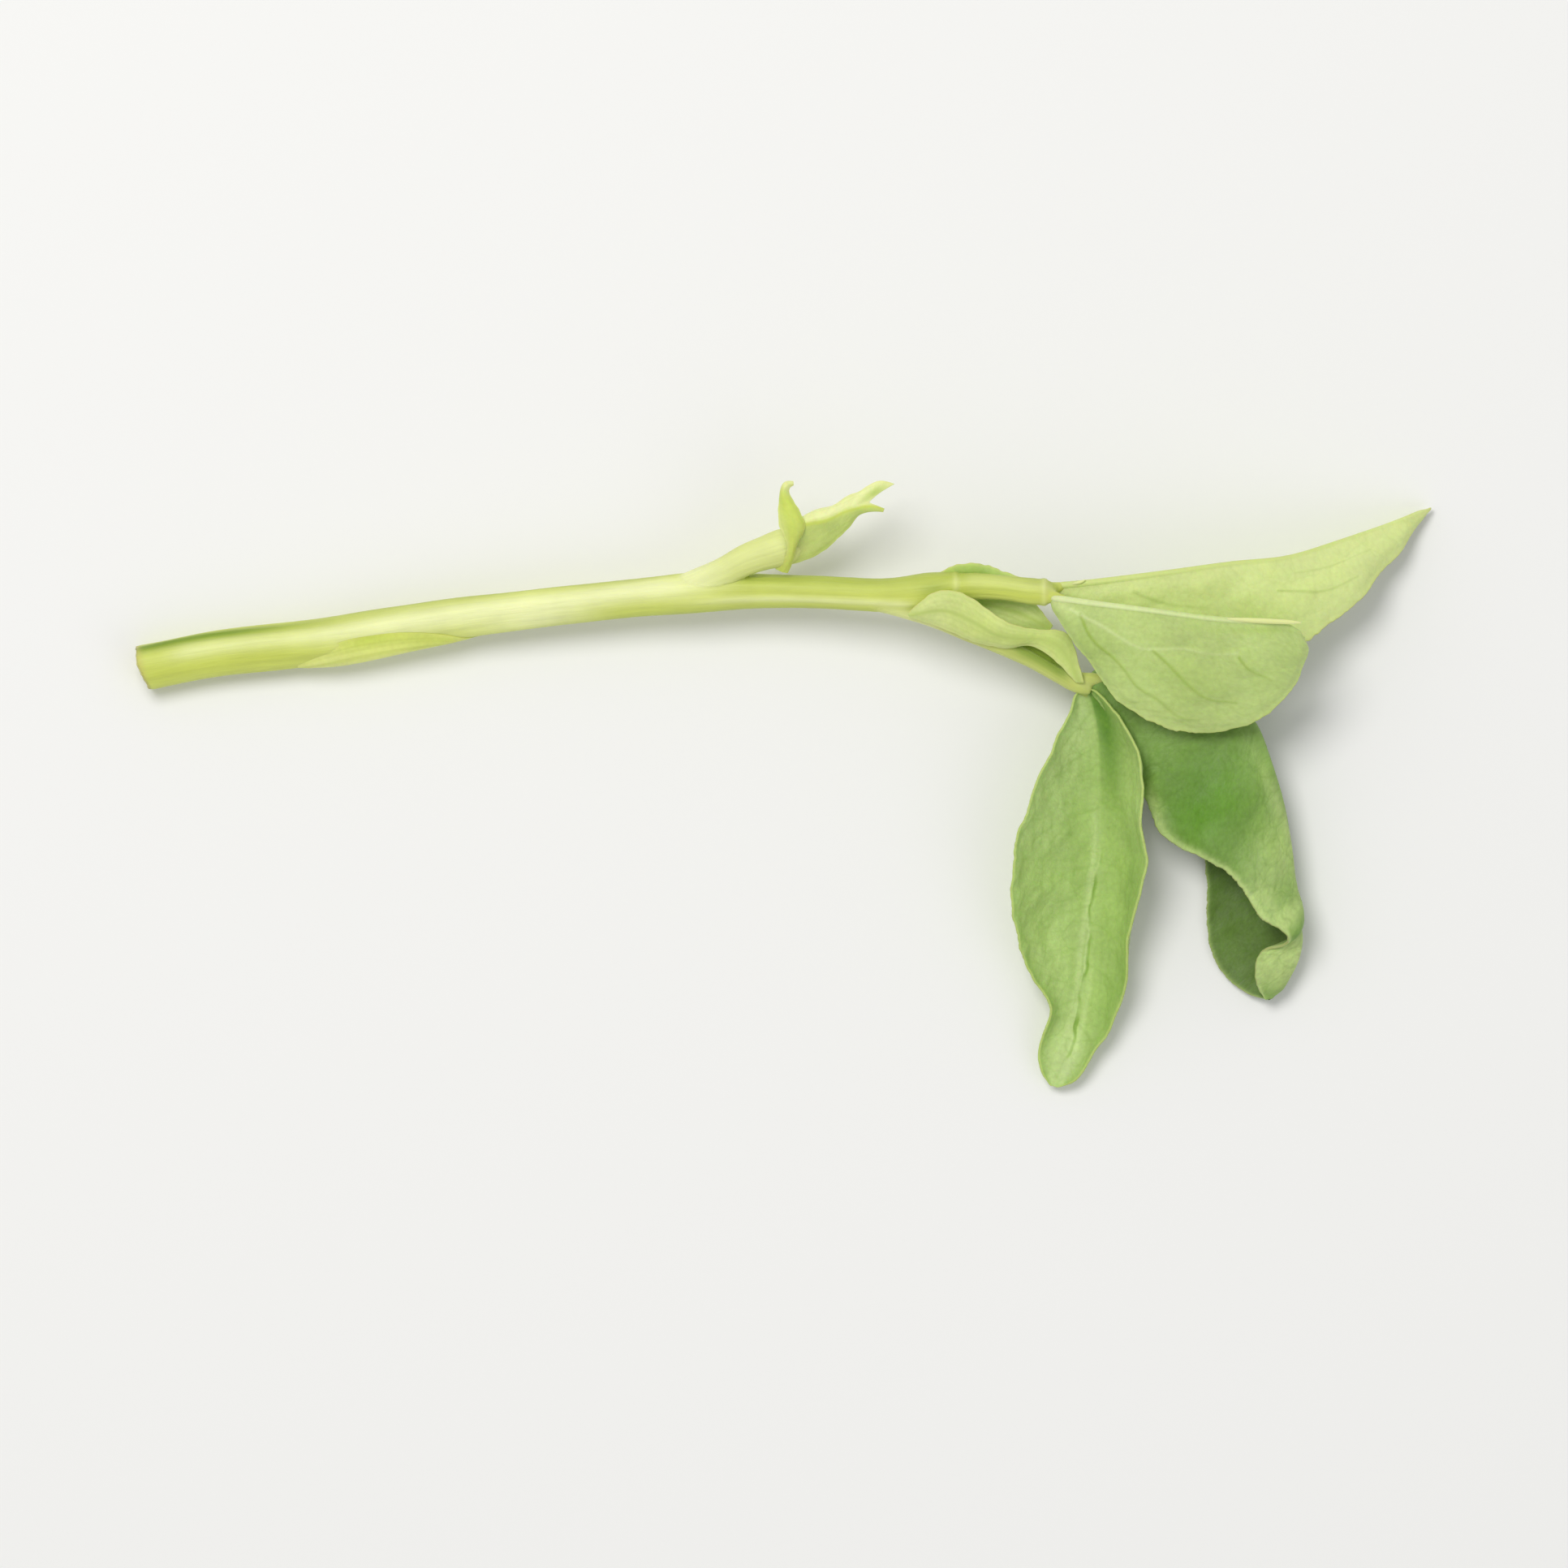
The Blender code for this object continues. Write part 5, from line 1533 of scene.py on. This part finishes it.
def stem_material(groups):
    """Stem tissue: yellow green, paler on the ribs, greener in the strips between, with fibres along it."""
    material, tree, shader = new_material("stem_tissue")
    grain = pattern_of(tree, "grain_mm")
    mask = masks_of(tree, "rib", "deep", "pale", "tan")
    streaks = streaked(tree, groups, grain, 3.2, 0.07)
    threads = streaked(tree, groups, grain, 11.0, 0.05)
    patches = mottled(tree, groups, grain, 0.3, 3.0, 0.05)
    # The deep and pale masks carry painted shade and painted highlights as well as the stem's own tones
    base = faded(tree, mask["deep"], 1.0, STEM_MIDDLE, STEM_DEEP)
    base = faded(tree, mask["pale"], 1.0, base, STEM_PALE)
    base = faded(tree, mask["rib"], 0.12, base, STEM_PALE)
    tone = math(tree, "MULTIPLY_ADD", streaks, 0.035, patches)
    base = shaded(tree, groups, base, math(tree, "MULTIPLY_ADD", threads, 0.02, tone))
    base = faded(tree, mask["tan"], 0.7, base, STEM_TAN)
    relief = math(tree, "ADD", threads, streaks)
    tissue(tree, shader, base, math(tree, "MULTIPLY_ADD", streaks, 0.06, 0.42), relief, 0.22, 0.04)
    shader.inputs["Specular IOR Level"].default_value = 0.20
    fleshy(shader, 0.25, STEM_SCATTER, 0.6)
    return material


def cut_material(groups):
    """The cut: pale wet pith with a net of darker cells, and a thin dry tan rim."""
    material, tree, shader = new_material("cut_tissue")
    here = vectors(tree, "SCALE", add(tree, "ShaderNodeTexCoord").outputs["Object"], 1.0 / MM)
    mask = masks_of(tree, "rim", "pith")
    cells = netted(tree, groups, here, 4.0, 0.15, 0.1)
    patches = mottled(tree, groups, here, 1.8, 3.0, 0.10)
    base = mix(tree, mask["pith"], CUT_FLESH, CUT_PITH)
    base = shaded(tree, groups, base, patches)
    base = faded(tree, cells["Mask"], 0.15, base, STEM_DEEP)
    base = faded(tree, mask["rim"], 0.6, base, CUT_RIM)
    tissue(tree, shader, base, remap(tree, mask["rim"], 0.0, 1.0, 0.35, 0.6), cells["Cushion"], 0.4, 0.05)
    fleshy(shader, 0.3, STEM_SCATTER, 0.6)
    return material


def all_materials():
    """Every tissue, by the name of the pieces that it is for."""
    groups = {
        "veinlets": veinlet_group(), "mottle": mottle_group(), "shade": shade_group(), "bloom": bloom_group(),
        "streaks": streak_group(),
    }
    leaves = (
        ("trough", "trough_leaf_tissue", TROUGH_LEAF, dict(rim=0.45)),
        (
            "drooping", "drooping_leaf_tissue", DROOPING_LEAF,
            dict(net=0.2, bloom=0.3, contrast=1.5, gloss=0.18),
        ),
        ("front", "front_leaf_tissue", FRONT_LEAF, dict(net=0.10, bloom=0.2, contrast=0.9)),
        ("back", "back_leaf_tissue", BACK_LEAF, dict(net=0.08, bloom=0.25, contrast=0.6)),
        ("stipule", "stipule_tissue", STIPULE_LEAF, dict(net=0.08, contrast=0.7)),
        ("sheath", "sheath_tissue", SHEATH_LEAF, dict(net=0.03, bloom=0.1, rough=0.45, contrast=0.6)),
        ("pressed", "scale_tissue", PRESSED_LEAF, dict(net=0.02, bloom=0.04, rough=0.42, contrast=0.6)),
    )
    return {
        **{key: leaf_material(name, groups, colours, **looks) for key, name, colours, looks in leaves},
        "stem": stem_material(groups),
        "cut": cut_material(groups),
    }


def floor():
    """A plain pale floor under the shoot."""
    mesh = bpy.data.meshes.new("floor")
    corners = [(-1, -1), (1, -1), (1, 1), (-1, 1)]
    corners = [(x * FLOOR_REACH, y * FLOOR_REACH, FLOOR_LEVEL) for x, y in corners]
    mesh.from_pydata(corners, [], [(0, 1, 2, 3)])
    material, tree, shader = new_material("floor_paint")
    patches = add(tree, "ShaderNodeTexNoise", {"Scale": 6.0, "Detail": 3.0}).outputs["Fac"]
    connect(tree, shader.inputs["Base Color"], mix(tree, patches, FLOOR_PAINT, FLOOR_PATCHES))
    shader.inputs["Roughness"].default_value = 0.9
    mesh.materials.append(material)
    item = bpy.data.objects.new("floor", mesh)
    bpy.context.scene.collection.objects.link(item)


def area_light(name, position, size, power, colour):
    """A round soft light that faces the shoot."""
    light = bpy.data.lights.new(name, "AREA")
    light.shape = "DISK"
    light.size = size
    light.energy = power
    light.color = colour
    item = bpy.data.objects.new(name, light)
    item.location = position
    item.rotation_mode = "QUATERNION"
    item.rotation_quaternion = item.location.to_track_quat("Z", "Y")
    bpy.context.scene.collection.objects.link(item)


def studio():
    """Soft daylight, two soft lights, and a camera that looks straight down on the shoot."""
    scene = bpy.context.scene
    scene.view_settings.view_transform = "Standard"
    world = bpy.data.worlds.new("daylight")
    world.use_nodes = True
    back = world.node_tree.nodes["Background"]
    back.inputs["Color"].default_value = WHITE
    back.inputs["Strength"].default_value = DAYLIGHT
    scene.world = world
    for light in LIGHTS:
        area_light(*light)
    middle = np.array(cad_bounds).mean(axis=0)
    camera = bpy.data.cameras.new("camera")
    camera.sensor_width = SENSOR
    camera.lens = SENSOR * CAMERA_AWAY / VIEW_WIDTH
    camera.clip_start = CAMERA_NEAREST
    item = bpy.data.objects.new("camera", camera)
    item.location = (middle[0], middle[1], CAMERA_AWAY)
    scene.collection.objects.link(item)
    scene.camera = item


def main():
    """Builds all tissues and pieces, then the floor, the light and the camera."""
    materials = all_materials()
    stem_skin(materials["stem"])
    cut_face(materials["cut"])
    pressed_scale(materials["pressed"])
    side_leaves(materials["sheath"])
    stipules(materials["stipule"])
    trough_leaflet(materials["trough"])
    drooping_leaflet(materials["drooping"])
    front_leaflet(materials["front"])
    back_leaflet(materials["back"])
    keel_spurs(materials["stem"])
    floor()
    studio()


main()
